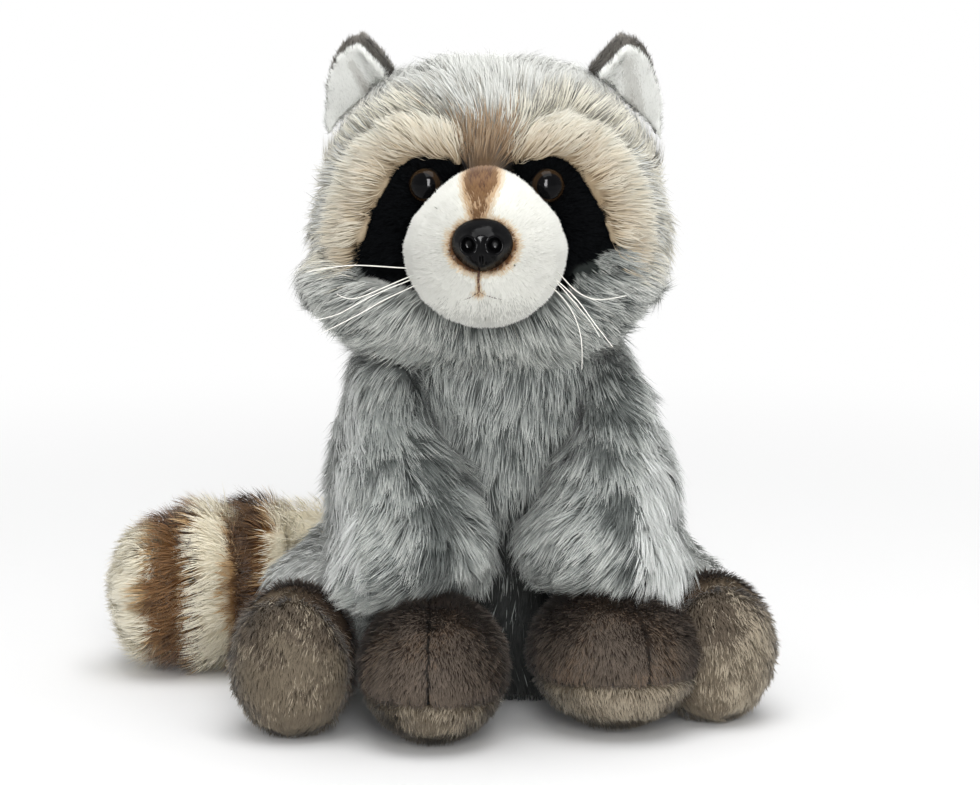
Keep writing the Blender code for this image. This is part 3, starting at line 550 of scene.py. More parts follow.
def into_head(corners):
    """In to the head's middle, further at the sides, and less low on its right, where the ruff is full."""
    ways = towards(HEAD_CENTRE)(corners)
    x, _, z = in_head(corners).T
    full = step(-x, 25, 50) * step(-z, 8, 20)
    aside = step(np.abs(ways[:, 0]), 0.5, 0.95)
    return ways * (1 + 0.4 * aside * (1 - full) - 0.7 * full)[:, None]


def apart(places, nodes):
    """How far each place is from the nearest of some nodes."""
    trees = [solids[node][2] for node in nodes]
    points = [Vector(place) for place in places.tolist()]
    return np.array([min(tree.find_nearest(point)[3] for tree in trees) for point in points])


def in_front(places, nodes):
    """Which places have one of some nodes before them, on the way out from the head's middle."""
    trees = [solids[node][2] for node in nodes]
    out = unit(places - np.array(HEAD_CENTRE))
    rays = [(Vector(place), Vector(way)) for place, way in zip(places.tolist(), out.tolist())]
    return np.array([any(tree.ray_cast(*ray)[0] is not None for tree in trees) for ray in rays])


def near_ears(places):
    """1 at the feet of the ears' linings, 0 further away or behind them."""
    away = apart(places, EAR_LININGS)
    return (1 - step(away, 8 * MM, 20 * MM)) * (1 - step(in_head(places)[:, 1], 8, 16))


def flowing_from_face(places, ways):
    """Out from the middle of the face, up over the feet of the ears, and down behind them."""
    local = in_head(places)
    out = np.stack([local[:, 0], 6 + 0 * local[:, 0], local[:, 2] - 8], 1)
    behind = step(local[:, 1], 4, 34)[:, None]
    flow = unit(out) * (1 - behind) + np.array([0, 0.2, -1.0]) * behind
    flow += near_ears(places)[:, None] * np.array([0, 0, 1.6])
    return turned_with_head(flow)


def clear_of_ears(places, ways):
    """Leaves the pile out before the ears' linings and close to the masks."""
    ears = step(apart(places, EAR_LININGS), 0.4 * EAR_CLEARANCE, EAR_CLEARANCE)
    return ears * step(apart(places, MASKS), 0.5 * MM, 2.5 * MM) * ~in_front(places, MASKS)


def head_shading(places, ways):
    """Shares of the head's shades: a pale crown with streaks, a silver ruff and back, and a brown blaze
    that is darkest on both sides of its foot."""
    x, y, z = in_head(places).T
    off = np.abs(x + 1)
    wide = 9 + 4 * (1 - step(z, 20, 34))
    blaze = np.exp(-((off / wide) ** 2.6)) * step(z, 2, 8) * (1 - step(z, 28, 47)) * (y < 0)
    foot = step(z, 2, 8) * (1 - step(z, 22, 29)) * step(off, 4, 9) * (1 - step(off, 16, 21))
    foot *= y < 0
    low = 1 - step(z + 0.1 * np.abs(x), -24, -2)
    silver = np.clip(low + 0.8 * step(y, 5, 35) * (1 - low), 0, 1)
    silver *= 1 - near_ears(places)
    forehead = step(z, 26, 36) * (1 - step(z, 44, 54)) * (1 - step(np.abs(x), 34, 52))
    streak = (1 - silver) * (0.06 + 0.52 * forehead * (0.6 + 0.4 * drift(places, 8 * MM, 12)))
    streak = np.clip(streak * (1 - near_ears(places)), 0.01, 1)
    cream = 0.7 * (1 - silver) * (1 - step(apart(places, ("brow_right", "brow_left")), 0, 6 * MM))
    pale = np.maximum(1 - silver - streak - cream, 0)
    steel = silver * np.clip(0.2 + 0.3 * drift(places, 8 * MM, 13), 0.02, 0.7)
    rest = 1 - np.maximum(blaze, foot)
    brown = 0.72 * blaze * (1 - 0.7 * foot)
    greys = (pale * rest, (silver - steel) * rest, streak * rest)
    return shares_of(*greys, brown, cream * rest, steel * rest, 3 * foot)


head_cover = cover_of("head", pale_pile, 4 * MM, 7, 6.5 * MM, into_head, head_shading, 1)
grow_pile(
    head_cover, pale_pile, RUFF, 72000, flowing_from_face, 21, shading=head_shading, keep=clear_of_ears
)

# The brows are two crescents of softer cream pile, sewn between the crown and the masks. Their edge
# by the mask is touched with tan.
SILK = Pile(10 * MM, 0.36 * MM, 40, 6, 4 * MM, 0.1, 8, 3, 0.16)
TAN = tones((158, 138, 110), (188, 173, 148), (210, 202, 186))
SAND = tones((184, 170, 146), (203, 194, 174), (218, 213, 199))
brow_pile = pile_cloth("cream_pile", "cream_brow_pile", [TAN, SAND, CREAM, PALE], uneven=0.12)


def blended(level, count):
    """Weights of a row of shades, for levels from 0 at the first shade to 1 at the last."""
    reach = np.clip(level, 0, 1)[:, None] * (count - 1)
    return np.clip(1 - np.abs(reach - np.arange(count)), 0, 1) + 1e-5


def facing_out(places, ways):
    """1 on the outer faces of a panel, 0 on its edges and back."""
    out = unit(places - np.array(HEAD_CENTRE))
    return ((out * ways).sum(1) > 0.5).astype(float)


def brow_shading(places, ways):
    """Tan close to the masks, then cream, then pale."""
    away = apart(places, MASKS) + 0.8 * MM * drift(places, 6 * MM, 33)
    return blended(away / (12.5 * MM), 4)


for number, word in enumerate(SIDES):
    name = "brow_" + word
    cover = cover_of(name, brow_pile, 2.2 * MM, 4, 5.5 * MM, towards(HEAD_CENTRE), brow_shading)
    behind = ("head", "mask_" + word)
    comb = flowing_from_face
    grow_pile(cover, brow_pile, SILK, 9000, comb, 31 + number, behind, brow_shading, facing_out, sway=6)

# The masks are black short-pile plush, set lower than the fur round them
NAP = Pile(3 * MM, 0.4 * MM, 56, 56, 4 * MM, 0.04, 8, 4, 0.15)
BLACK = tones((4, 5, 6), (9, 10, 11), (22, 24, 26))
MASK_SHADES = [BLACK, SILVER, STEEL]
black_pile = pile_cloth("black_short_pile", "black_short_pile", MASK_SHADES, 0.9, 0.02, specular=0)
EYE_CLEARANCE = 1.2 * MM
CORNER_X, CORNER_TOPS = 48.3, (-7.0, 1.8)


def open_round(eye):
    """Leaves the pile out round an eye, and on the edges and back of the panel."""
    return lambda places, ways: facing_out(places, ways) * step(apart(places, (eye,)), 0, EYE_CLEARANCE)


def corner_of(top):
    """Shares of black and silver on a mask. The ruff goes on over its lower outer corner."""

    def shading(places, ways):
        x, _, z = in_head(places).T
        line = top + 0.82 * (np.abs(x) - CORNER_X) + 1.5 * drift(places, 5 * MM, 44)
        grey = 1 - step(z, line - 3, line + 0.5)
        return shares_of(1 - grey, grey * 0.7, grey * 0.3)

    return shading


def below_corner(corner):
    """Keeps the ruff to a mask's corner."""
    return lambda places, ways: facing_out(places, ways) * (1 - corner(places, ways)[:, 0])


def ruff_shading(places, ways):
    """Silver, with some steel and a little pale."""
    return np.tile([0.12, 0.55, 0.0, 0.0, 0.0, 0.33, 0.0], (len(places), 1)) + 1e-4


for number, word in enumerate(SIDES):
    corner = corner_of(CORNER_TOPS[number])
    cover = cover_of("mask_" + word, black_pile, 1.8 * MM, 3, 1.0 * MM, towards(HEAD_CENTRE), corner)
    keep = open_round("eye_" + word)
    grow_pile(cover, black_pile, NAP, 10000, flowing_from_face, 41 + number, (), corner, keep, False)
    below = below_corner(corner)
    grow_pile(cover, pale_pile, RUFF, 1500, flowing_from_face, 43 + number, ("head",), ruff_shading, below)

# The muzzle is a firm ball of white short pile. The bridge of the nose is airbrushed brown, and so is
# the rim round the nose.
MUZZLE_CENTRE = Vector((0, -52, -2)) * MM
WHITE = tones((229, 229, 221), (238, 238, 230), (243, 243, 236))
# painted shadow: a greyer white for the underside of the jaw
PAINTED_CHIN_SHADOW = tones((190, 190, 182), (202, 202, 194), (212, 212, 205))
IVORY = tones((212, 196, 170), (224, 211, 188), (232, 222, 204))
FAWN = tones((182, 150, 114), (198, 168, 132), (210, 184, 152))
BROWN = tones((104, 74, 46), (122, 89, 57), (142, 108, 73))
UMBER = tones((74, 48, 32), (88, 58, 38), (108, 76, 52))
white_pile = pile_cloth(
    "white_short_pile", "white_muzzle_pile", [WHITE, IVORY, FAWN, BROWN, UMBER, PAINTED_CHIN_SHADOW], uneven=0.1
)
VELVET = Pile(2.2 * MM, 0.52 * MM, 64, 64, 5 * MM, 0, 9, 3, 0.1)
NOSE_X, NOSE_Z = 0.0, 1.2
NOSE_HALF_WIDTH, NOSE_HALF_HEIGHT = 10.9, 8.7
BRIDGE_X = -1.2
LIP_X, LIP_TOP, LIP_FORK = -1.2, -7.6, -14.6
LIP_ENDS = ((-7.6, -18.4), (7.0, -17.8))


def muzzle_shading(places, ways):
    """How brown the airbrush left it: the bridge, the rim round the nose and the line of the mouth; and a
    greyer white low under the jaw, which is painted shadow.
    """
    x, y, z = in_head(places).T
    wide = 2.2 + 3.8 * step(z, 6, 24)
    bridge = (1 - step(np.abs(x - BRIDGE_X), wide - 2.6, wide + 3)) * step(z, 5, 9)
    bridge *= 0.72 + 0.1 * step(z, 14, 24) + 0.06 * drift(places, 3 * MM, 4)
    edge = np.hypot((x - NOSE_X) / NOSE_HALF_WIDTH, (z - NOSE_Z) / NOSE_HALF_HEIGHT) - 1
    rim = 1 - step(edge, 0.02, 0.11)
    glow = 0.48 * (1 - step(edge, 0.03, 0.38)) ** 1.5
    lip = 0.6 * np.exp(-(((x - LIP_X) / 0.8) ** 2)) * step(-z, -LIP_TOP - 3, -LIP_TOP)
    lip *= 1 - step(-z, 13, 17)
    fork = 0.62 * np.exp(-np.hypot((x - LIP_X) / 1.9, (z - LIP_FORK) / 1.3) ** 2)
    level = np.maximum.reduce([bridge, rim, glow, lip, fork]) * (y < -40)
    # painted shadow: low under the jaw the white goes greyer
    chin_shadow = 0.7 * step(-z, 12, 28)[:, None]
    return np.column_stack([blended(level, 5) * (1 - chin_shadow), chin_shadow])


def flowing_over_muzzle(places, ways):
    """Back over the muzzle from the nose."""
    return turned_with_head(in_head(places) - np.array([NOSE_X, -90, NOSE_Z]))


def round_the_nose(places, ways):
    """Leaves the pile out under the nose."""
    x, y, z = in_head(places).T
    edge = np.hypot((x - NOSE_X) / NOSE_HALF_WIDTH, (z - NOSE_Z) / NOSE_HALF_HEIGHT) - 1
    return np.maximum(step(edge, -0.02, 0.01), y > -60)


muzzle_cover = cover_of("muzzle", white_pile, 2 * MM, 2, 0.8 * MM, None, muzzle_shading, 2)
comb, keep = flowing_over_muzzle, round_the_nose
grow_pile(muzzle_cover, white_pile, VELVET, 48000, comb, 51, (), muzzle_shading, keep, False)

# The mouth is stitched through the muzzle in brown thread: one stitch down from the nose, and one to
# each side that pulls a soft fold into the pile
THREAD_RADIUS = 0.42 * MM
muzzle_skin = BVHTree.FromPolygons(*[part.tolist() for part in surface_of(muzzle_cover.data)[::2]])
FOREHEAD = 120 * MM


def on_muzzle(x, z, lift):
    """The place on the muzzle's cloth straight behind a point of the face's front, in millimetres."""
    start = HEAD_POSE @ Vector((x * MM, -FOREHEAD, z * MM))
    forward = HEAD_POSE.to_3x3() @ Vector((0, 1, 0))
    return muzzle_skin.ray_cast(start, forward)[0] - forward * lift


def strand(name, points, thick, thin, finish, slot, nodes=()):
    """A thread or bristle along a smooth line, from its thick end to its thin one."""
    shape = bpy.data.curves.new(name, "CURVE")
    shape.dimensions = "3D"
    shape.bevel_depth = thick
    shape.bevel_resolution = 2
    shape.use_fill_caps = True
    shape.resolution_u = 8
    spline = shape.splines.new("NURBS")
    spline.points.add(len(points) - 1)
    spline.use_endpoint_u = True
    spline.order_u = 3
    for k, (corner, point) in enumerate(zip(spline.points, points)):
        corner.co = (*point, 1)
        corner.radius = 1 - (1 - thin / thick) * k / (len(points) - 1)
    shape.materials.append(finish)
    pick(added(name, shape))
    bpy.ops.object.convert(target="MESH")
    piece = bpy.context.object
    piece.data.shade_smooth()
    dress(piece, slot, *nodes)


def spun(name, shade, twist, roughness, specular=0.3):
    """Thread or bristle: a fine grain of lighter and darker fibre."""
    material, tree, shader = finish_of(name, roughness, specular)
    place = Wire.node(tree, "TexCoord", output=3)
    fibre = Wire.node(tree, "TexNoise", None, {"Vector": place, "Scale": twist, "Detail": 2.0})
    dark = tuple(c * 0.75 for c in shade[:3]) + (1.0,)
    tree.links.new(mixed(tree, fibre, dark, shade).socket, shader.inputs["Base Color"])
    return material


lip_thread = spun("lip_thread", colour(84, 52, 38), 1800.0, 0.7)
lip_fork = on_muzzle(LIP_X, LIP_FORK, 0.9 * MM)
philtrum = [on_muzzle(LIP_X, LIP_TOP + (LIP_FORK - LIP_TOP) * k / 4, 1.2 * MM) for k in range(5)]
strand("mouth_stitch", philtrum, THREAD_RADIUS, THREAD_RADIUS, lip_thread, "white_short_pile")
for word, (x, z) in zip(SIDES, LIP_ENDS):
    bow = [lip_fork]
    for s in (0.35, 0.7, 1):
        bow.append(on_muzzle(LIP_X + (x - LIP_X) * s, LIP_FORK + (z - LIP_FORK) * s**0.7, 1.1 * MM))
    strand("mouth_" + word, bow, 0.6 * THREAD_RADIUS, 0.2 * THREAD_RADIUS, lip_thread, "white_short_pile")

# The eyes are moulded domes with black pupils and a thin ring of dark brown iris under clear gloss
IRIS = colour(40, 28, 16)
PUPIL = colour(4, 4, 5)
IRIS_START, IRIS_END = 4.9, 5.9
EYE_DOME_DEPTH = 5 * MM
EYE_SWELL = 1.12
EYE_SPLAY = math.radians(16)
CROWN_DEPTH = 3 * MM


def moulded(name, shade, roughness, specular):
    """Smooth moulded plastic with a faint cloud of lighter pigment."""
    material, tree, shader = finish_of(name, roughness, specular)
    place = Wire.node(tree, "TexCoord", output=3)
    cloud = Wire.node(tree, "TexNoise", None, {"Vector": place, "Scale": 400.0, "Detail": 3.0})
    pale = tuple(c * 1.4 + 0.001 for c in shade[:3]) + (1.0,)
    surface = mixed(tree, cloud, shade, pale)
    tree.links.new(surface.socket, shader.inputs["Base Color"])
    return material, tree, shader, place, surface


for side, word in ((-1, "right"), (1, "left")):
    name = "eye_" + word
    material, tree, shader, place, surface = moulded("eye_plastic_" + word, PUPIL, 0.07, 0.1)
    eye_turn = HEAD_TURN + side * EYE_SPLAY
    eye = copy_of(name, name + "_dome")
    corners, _, _ = surface_of(eye.data)
    outward = Matrix.Rotation(eye_turn, 3, "Z") @ Vector((0, -1, 0))
    depth = corners @ np.array(outward)
    crown = corners[depth > depth.max() - CROWN_DEPTH].mean(0)
    from_crown = Wire.node(tree, "VectorMath", {"operation": "SUBTRACT"}, {0: place, 1: tuple(crown)})
    dot = {"operation": "DOT_PRODUCT"}
    ahead = Wire.node(tree, "VectorMath", dot, {0: from_crown, 1: tuple(outward)}, 1)
    length = Wire.node(tree, "VectorMath", {"operation": "LENGTH"}, {0: from_crown}, 1)
    squared = length * length - ahead * ahead
    radius = squared.sum("POWER", squared, 0.5) / MM
    ring = radius.ramp(IRIS_START - 0.5, IRIS_START) * (1 - radius.ramp(IRIS_END - 0.2, IRIS_END + 0.2))
    tree.links.new(mixed(tree, ring, surface, IRIS).socket, shader.inputs["Base Color"])
    apply_modifier(eye, "SUBSURF", levels=2, render_levels=2)
    corners, _, _ = surface_of(eye.data)
    inner = crown - outward * EYE_DOME_DEPTH
    front = (corners - inner) @ np.array(outward) > 0
    corners[front] = inner + (corners[front] - inner) * EYE_SWELL
    reshape(eye, corners)
    eye.data.materials.append(material)
    dress(eye, "eye_plastic", name)

# The nose is one glossy black moulding with nostrils and a cleft, pushed through the muzzle's cloth
nose = copy_of("nose", "nose_moulding")
apply_modifier(nose, "REMESH", mode="VOXEL", voxel_size=0.4 * MM)
apply_modifier(nose, "SMOOTH", factor=0.5, iterations=7)
NOSE_RISE = 1.3 * MM
NOSTRIL_X, NOSTRIL_Z, NOSTRIL_RADIUS = 4.5, 0.6, 2.0
corners, _, _ = surface_of(nose.data)
across, ahead, height = in_head(corners).T
across, height = across - NOSE_X, height - NOSE_Z
front = step(-ahead, 82, 85)
from_nostril = np.hypot(np.abs(across) - NOSTRIL_X, (height - NOSTRIL_Z) * 1.1)
pit = 2.0 * (1 - step(from_nostril, NOSTRIL_RADIUS - 0.9, NOSTRIL_RADIUS + 0.5))
wing = 0.7 * np.exp(-(((from_nostril - NOSTRIL_RADIUS - 1.1) / 0.7) ** 2)) * step(np.abs(across), 1, 3)
valley = 0.7 * np.exp(-((across / 1.6) ** 2)) * (1 - step(height, 0, 4))
cleft = 0.9 * np.exp(-((across / 0.55) ** 2)) * (1 - step(height, -4, -2))
depth = (wing - pit - valley - cleft) * front
corners = corners + turned_with_head(np.array([0, -1.0, 0])) * (depth * MM)[:, None]
corners[:, 2] += NOSE_RISE * step(height, -6, 6)
reshape(nose, corners)
nose.data.materials.append(moulded("nose_plastic", PUPIL, 0.16, 0.085)[0])
dress(nose, "nose_plastic", "nose")

# The lock washers are pressed from white plastic, and sit unseen behind the cloth
washer_plastic = moulded("washer_plastic", colour(225, 225, 222), 0.4, 0.4)[0]
for name in ("eye_washer_right", "eye_washer_left", "nose_washer"):
    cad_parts[name].data.materials.clear()
    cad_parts[name].data.materials.append(washer_plastic)

# The whiskers are single bristles of white nylon, drawn through the muzzle's cloth. Their lines are
# the part's own, from the head's middle.
BRISTLE_THICK, BRISTLE_THIN = 0.27 * MM, 0.13 * MM
BRISTLE_ROOT = 3 * MM
WHISKERS = {
    "right_1": [
        (-25.6, -60, -9), (-37, -66, -7.4), (-46, -69, -6.6), (-55, -70, -7.6), (-62, -70, -9.2)
    ],
    "right_2": [
        (-25.2, -62.5, -11), (-36, -69, -15), (-43.5, -72, -18), (-48, -73, -18.2), (-51, -74, -16.2)
    ],
    "right_3": [
        (-25.4, -59, -12.8), (-37, -63, -17), (-45.5, -65, -21.4), (-52.5, -66, -25.4), (-60, -67, -26.6)
    ],
    "right_4": [
        (-24.6, -62, -14.8), (-35, -68, -19), (-42, -71, -23), (-50, -73, -27), (-57.5, -74, -30.6)
    ],
    "left_1": [
        (25.6, -60, -9.5), (32, -66, -16), (38.5, -69, -18.6), (44.5, -70, -18), (50, -70, -16.8)
    ],
    "left_2": [
        (24.4, -61, -15.4), (30, -65, -21), (33.4, -67, -28), (34.8, -69, -35.6), (34.5, -69, -43)
    ],
    "left_3": [
        (25.2, -59, -13.2), (31.4, -62, -20), (35.3, -64, -24.4), (38.5, -66, -28), (40.7, -67, -31.8)
    ],
    "left_4": [
        (25, -63, -11.8), (33, -69, -18.4), (38.2, -71, -25.6), (41.7, -72, -30), (45.3, -73, -34.4)
    ],
}
nylon = spun("whisker_nylon", colour(240, 238, 230), 900.0, 0.35, 0.5)
for word, places in WHISKERS.items():
    line = [Vector(place) * MM for place in places]
    line.insert(0, line[0] + (MUZZLE_CENTRE - line[0]).normalized() * BRISTLE_ROOT)
    line = [HEAD_POSE @ point for point in line]
    name = "whisker_" + word
    strand(name + "_bristle", line, BRISTLE_THICK, BRISTLE_THIN, nylon, "whisker_nylon", (name,))

# The ears have backs of brown-grey pile and linings of white short pile
TUFT = Pile(2.8 * MM, 0.3 * MM, 26, 26, 3 * MM, 0.15, 12, 6, 0.2)
EAR_BACK = tones((84, 81, 76), (118, 114, 108), (162, 157, 149))
ear_pile = pile_cloth("brown_grey_pile", "brown_grey_ear_pile", [EAR_BACK])
LINING = tones((232, 233, 229), (240, 241, 237), (243, 244, 241))
# painted shade: a lighter and a deeper grey for the folds of the linings
PAINTED_FOLD_HALF_SHADOW = tones((208, 208, 203), (217, 217, 212), (226, 226, 221))
PAINTED_FOLD_SHADOW = tones((178, 176, 170), (190, 188, 182), (204, 202, 196))
LINING_SHADES = [LINING, PAINTED_FOLD_HALF_SHADOW, PAINTED_FOLD_SHADOW]
lining_pile = pile_cloth("white_short_pile", "ear_lining_pile", LINING_SHADES, uneven=0.06)
LINING_SPREAD = np.array([0.12, 0.0, 0.05])
LINING_NAP = Pile(2.4 * MM, 0.4 * MM, 50, 50, 4 * MM, 0, 9, 4, 0.12)


def up_the_ear(places, ways):
    """Up to the tip, and out over the edge."""
    return np.array([0, 0, 1.0]) + ways * 0.2


def spread_from(foot, shift):
    """Spreads a lining over its turned hem, which is rolled to the front."""
    return lambda corners: (corners - foot) * LINING_SPREAD + np.array([shift, -1.2, -2]) * MM


def above_the_head(places, ways):
    """Leaves out the pile at the foot of the ear."""
    return step(places[:, 2] / MM, 217, 222)


# Each fold's painted shade: its two ends on the lining, its width and its strength
FOLDS = (((-56.4, 241), (-51.2, 232), 1.8, 0.9), ((44.8, 241), (47.8, 225), 3, 0.8))


def folded(fold):
    """A lining is painted grey with shade along the fold that its stitched foot pulls into it."""
    (x1, z1), (x2, z2), wide, full = fold
    run = np.array([x2 - x1, z2 - z1])

    def shading(places, ways):
        reach = places[:, [0, 2]] / MM - np.array([x1, z1])
        share = np.clip(reach @ run / (run @ run), 0, 1)
        away = np.linalg.norm(reach - share[:, None] * run, axis=1)
        # painted shade along the fold
        grey = full * np.exp(-((away / wide) ** 2)) * (0.5 + 0.5 * share)
        return blended(grey, 3)

    return shading


for number, word in enumerate(SIDES):
    cover = cover_of("ear_back_" + word, ear_pile, 0.9 * MM, 2, 0.3 * MM)
    before = ("head", "ear_lining_" + word)
    grow_pile(cover, ear_pile, TUFT, 9000, up_the_ear, 61 + number, before, None, above_the_head, False)
    low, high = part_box("ear_lining_" + word)
    foot = np.array([(low.x + high.x) / 2, (low.y + high.y) / 2, low.z])
    wider = spread_from(foot, 0.8 * number)
    fold = folded(FOLDS[number])
    cover = cover_of("ear_lining_" + word, lining_pile, 0.9 * MM, 2, 1.0, wider, fold, 1)
    grow_pile(cover, lining_pile, LINING_NAP, 9000, up_the_ear, 63 + number, ("head",), fold, None, False)

# The forelegs are sleeves of the grey plush, from the shoulders down over the paws. The pile parts
# along the middle of the sleeve and is brushed down to both sides.
ARM_LINES = {
    "right": [(-42, -16, 128), (-45, -30, 106), (-38, -48, 80), (-32, -60, 60), (-31, -64, 50)],
    "left": [(36, -14, 128), (44, -26, 106), (40, -42, 80), (35, -52, 60), (34, -56, 50)],
}


def nearest_on(line, places):
    """The nearest point of a line to each place, and the way that the line runs there."""
    start, run = line[:-1], np.diff(line, axis=0)
    share = ((places[:, None] - start) * run).sum(2) / (run * run).sum(1)
    points = start + run * np.clip(share, 0, 1)[:, :, None]
    closest = np.linalg.norm(places[:, None] - points, axis=2).argmin(1)
    return points[np.arange(len(places)), closest], unit(run)[closest]


def into_line(line):
    """The ways in from the corners of a cover to a line."""
    return lambda corners: unit(nearest_on(line, corners)[0] - corners)


def into_arm(line, side, slimmer):
    """In to the arm's line, less at the shoulder's top and further in on its outer side."""

    def inward(corners):
        ways = into_line(line)(corners)
        z = corners[:, 2] / MM
        shoulder = step(z, 122, 136) * step(-ways[:, 2], 0.2, 0.8)
        outer = step(-side * ways[:, 0], 0.1, 0.8) * np.interp(z, *OUTER_SLOPE) * slimmer
        ways = ways * (1 - 0.7 * shoulder)[:, None]
        ways[:, 0] -= side * outer
        return ways

    return inward


def beside(parting, places):
    """How far places are to the left of the parting of an arm's pile."""
    return places[:, 0] - np.interp(places[:, 2], parting[::-1, 1], parting[::-1, 0])


def down_the_arm(line, parting):
    """Down the arm and away to both sides of its parting."""

    def comb(places, ways):
        _, run = nearest_on(line, places)
        aside = np.tanh(beside(parting, places) / (9 * MM))[:, None]
        return run + aside * np.array([0.75, 0.1, 0])

    return comb


def arm_shading(parting, side, rim_light_share, start):
    """Dark at the parting and in patches, and pale on the outer side as painted rim light."""

    def shading(places, ways):
        parted = np.exp(-((beside(parting, places) / (4.5 * MM)) ** 2))
        dark = 0.26 + 0.28 * drift(places, 9 * MM, 3) + 0.6 * parted
        # painted rim light on the sides that face outwards
        outer = step(side * ways[:, 0] + 0.15 * drift(places, 14 * MM, 2), start, start + 0.35) * rim_light_share
        return grey_shares(dark * (1 - outer), outer, 0 * outer)

    return shading


OUTER_SLOPE = ((62, 80, 97, 110), (0, 0.6, 0.45, 1.3))
PARTINGS = {
    "right": [(-31, 128), (-34, 106), (-27, 80), (-21, 60), (-20, 50)],
    "left": [(40, 128), (36, 102), (42, 91), (44, 80), (51, 66), (51, 50)],
}
# Each arm's side, how much slimmer it is on its outer side, and how strong its painted rim light is and
# where it starts
ARMS = {"right": (-1, 0.4, 0.8, 0.45), "left": (1, 1.05, 1.0, 0.12)}
for number, word in enumerate(SIDES):
    line = np.array(ARM_LINES[word]) * MM
    parting = np.array(PARTINGS[word]) * MM
    side, slimmer, rim_light_share, start = ARMS[word]
    shading = arm_shading(parting, side, rim_light_share, start)
    inward = into_arm(line, side, slimmer)
    comb = down_the_arm(line, parting)
    cover = cover_of("arm_" + word, grey_pile, 4 * MM, 7, 6 * MM, inward, shading, 1)
    grow_pile(cover, grey_pile, COAT, 34000, comb, 71 + number, (), shading, sway=22)

# The paws are round bags of dark brown pile, with a stitched crease between the toes, darkened with
# painted shade, and a beige sole
FUZZ = Pile(3.6 * MM, 0.38 * MM, 46, 46, 3 * MM, 0.08, 12, 5, 0.15)
PAW = tones((54, 46, 40), (92, 81, 71), (130, 116, 102))
PAW_WARM = tones((62, 50, 40), (106, 88, 72), (146, 127, 108))
# painted shade: the dark of the crease between the toes
PAINTED_CREASE_SHADE = tones((26, 22, 19), (40, 34, 29), (58, 50, 43))
RIM = tones((96, 85, 71), (132, 119, 102), (168, 155, 136))
SOLE = tones((78, 69, 57), (105, 94, 78), (132, 120, 101))
SOLE_PALE = tones((122, 111, 94), (160, 148, 128), (192, 180, 159))
SOLE_DARK = tones((44, 37, 30), (76, 66, 54), (116, 103, 87))
paw_pile = pile_cloth("dark_paw_pile", "dark_paw_pile", [PAW, PAW_WARM, PAINTED_CREASE_SHADE, RIM], 0.8, 0.12)
sole_pile = pile_cloth("taupe_sole_pile", "taupe_sole_pile", [SOLE, SOLE_PALE, SOLE_DARK])
SOLE_NAP = Pile(3.2 * MM, 0.39 * MM, 46, 46, 3 * MM, 0.06, 12, 5, 0.15)
PAWS = {"right": ((-26, -75, 27), 0.0, -1.5), "left": ((40, -58, 28), 20.0, 1.5)}
CREASE_WIDTH = 0.5
NO_CREASE = 100.0


def spin_of(turn):
    """How a paw is turned about the upright."""
    return np.array(Matrix.Rotation(math.radians(turn), 3, "Z"))


def in_paw(places, centre, turn):
    """Places in a paw's own frame, in millimetres from its middle."""
    return (places / MM - np.array(centre)) @ spin_of(turn)


def patches(places, size, seed):
    """Soft patches of wear from 0 to 1."""
    return np.clip(0.5 + 0.6 * drift(places, size, seed), 0, 1)


def groomed_paw(centre, turn, crease):
    """How a paw's pile is dyed, with painted shade along its crease, how it is combed, and where it is
    left out along the crease.
    """

    def shading(places, ways):
        x, y, z = in_paw(places, centre, turn).T
        warm = 0.45 * patches(places, 11 * MM, 5)
        # painted shade along the crease between the toes
        seam = 0.9 * np.exp(-(((x - crease) / CREASE_WIDTH) ** 2)) * step(-y, 4, 14) * step(z, -16, -10)
        return shares_of((1 - warm) * (1 - seam), warm * (1 - seam), seam, 0)

    def comb(places, ways):
        x = in_paw(places, centre, turn)[:, 0]
        away = np.sign(x - crease) * np.exp(-np.abs(x - crease) / 2) * 0.4 + 0.018 * x
        return np.stack([away, -0.75 + 0 * x, -1 + 0 * x], 1) @ spin_of(turn).T

    def keep(places, ways):
        x, y, z = in_paw(places, centre, turn).T
        return 1 - 0.8 * (np.abs(x - crease) < CREASE_WIDTH) * (y < -6) * (z > -14)

    return shading, comb, keep


def sole_of(pale):
    """A sole's shading: taupe with paler and darker patches of wear."""

    def shading(places, ways):
        lighter = pale + 0.3 * (patches(places, 9 * MM, 8) - 0.5)
        return np.stack([0.85 - lighter, lighter, 0 * lighter + 0.15], 1)

    return shading


for number, word in enumerate(SIDES):
    centre, turn, crease = PAWS[word]
    middle = towards(Vector(centre) * MM, 2.6 * number)
    shading, comb, keep = groomed_paw(centre, turn, crease)
    cover = cover_of("paw_" + word, paw_pile, 2.4 * MM, 3, 1.6 * MM, middle, shading)
    grow_pile(cover, paw_pile, FUZZ, 34000, comb, 81 + number, (), shading, keep, False)
    shading = sole_of((0.25, 0.5)[number])
    _, comb, _ = groomed_paw(centre, turn, NO_CREASE)
    cover = cover_of("paw_sole_" + word, sole_pile, 2.4 * MM, 2, 1.4 * MM, middle, shading)
    grow_pile(cover, sole_pile, SOLE_NAP, 11500, comb, 83 + number, (), shading, None, False)

# The hind legs are fat haunches of the pale plush beside the body
LEG_PALE = tones((150, 152, 149), (192, 194, 191), (220, 222, 219))
leg_pile = pile_cloth("pale_coat", "leg_pale_pile", [LEG_PALE, SILVER])
HAUNCH = Pile(7.5 * MM, 0.38 * MM, 40, 10, 3 * MM, 0.15, 8, 4, 0.14)


def leg_shading(places, ways):
    """Shares of pale and silver, paler on the outer side."""
    pale = 0.62 + 0.3 * step(np.abs(places[:, 0]) / MM, 62, 85)
    return np.stack([pale, 1 - pale], 1)


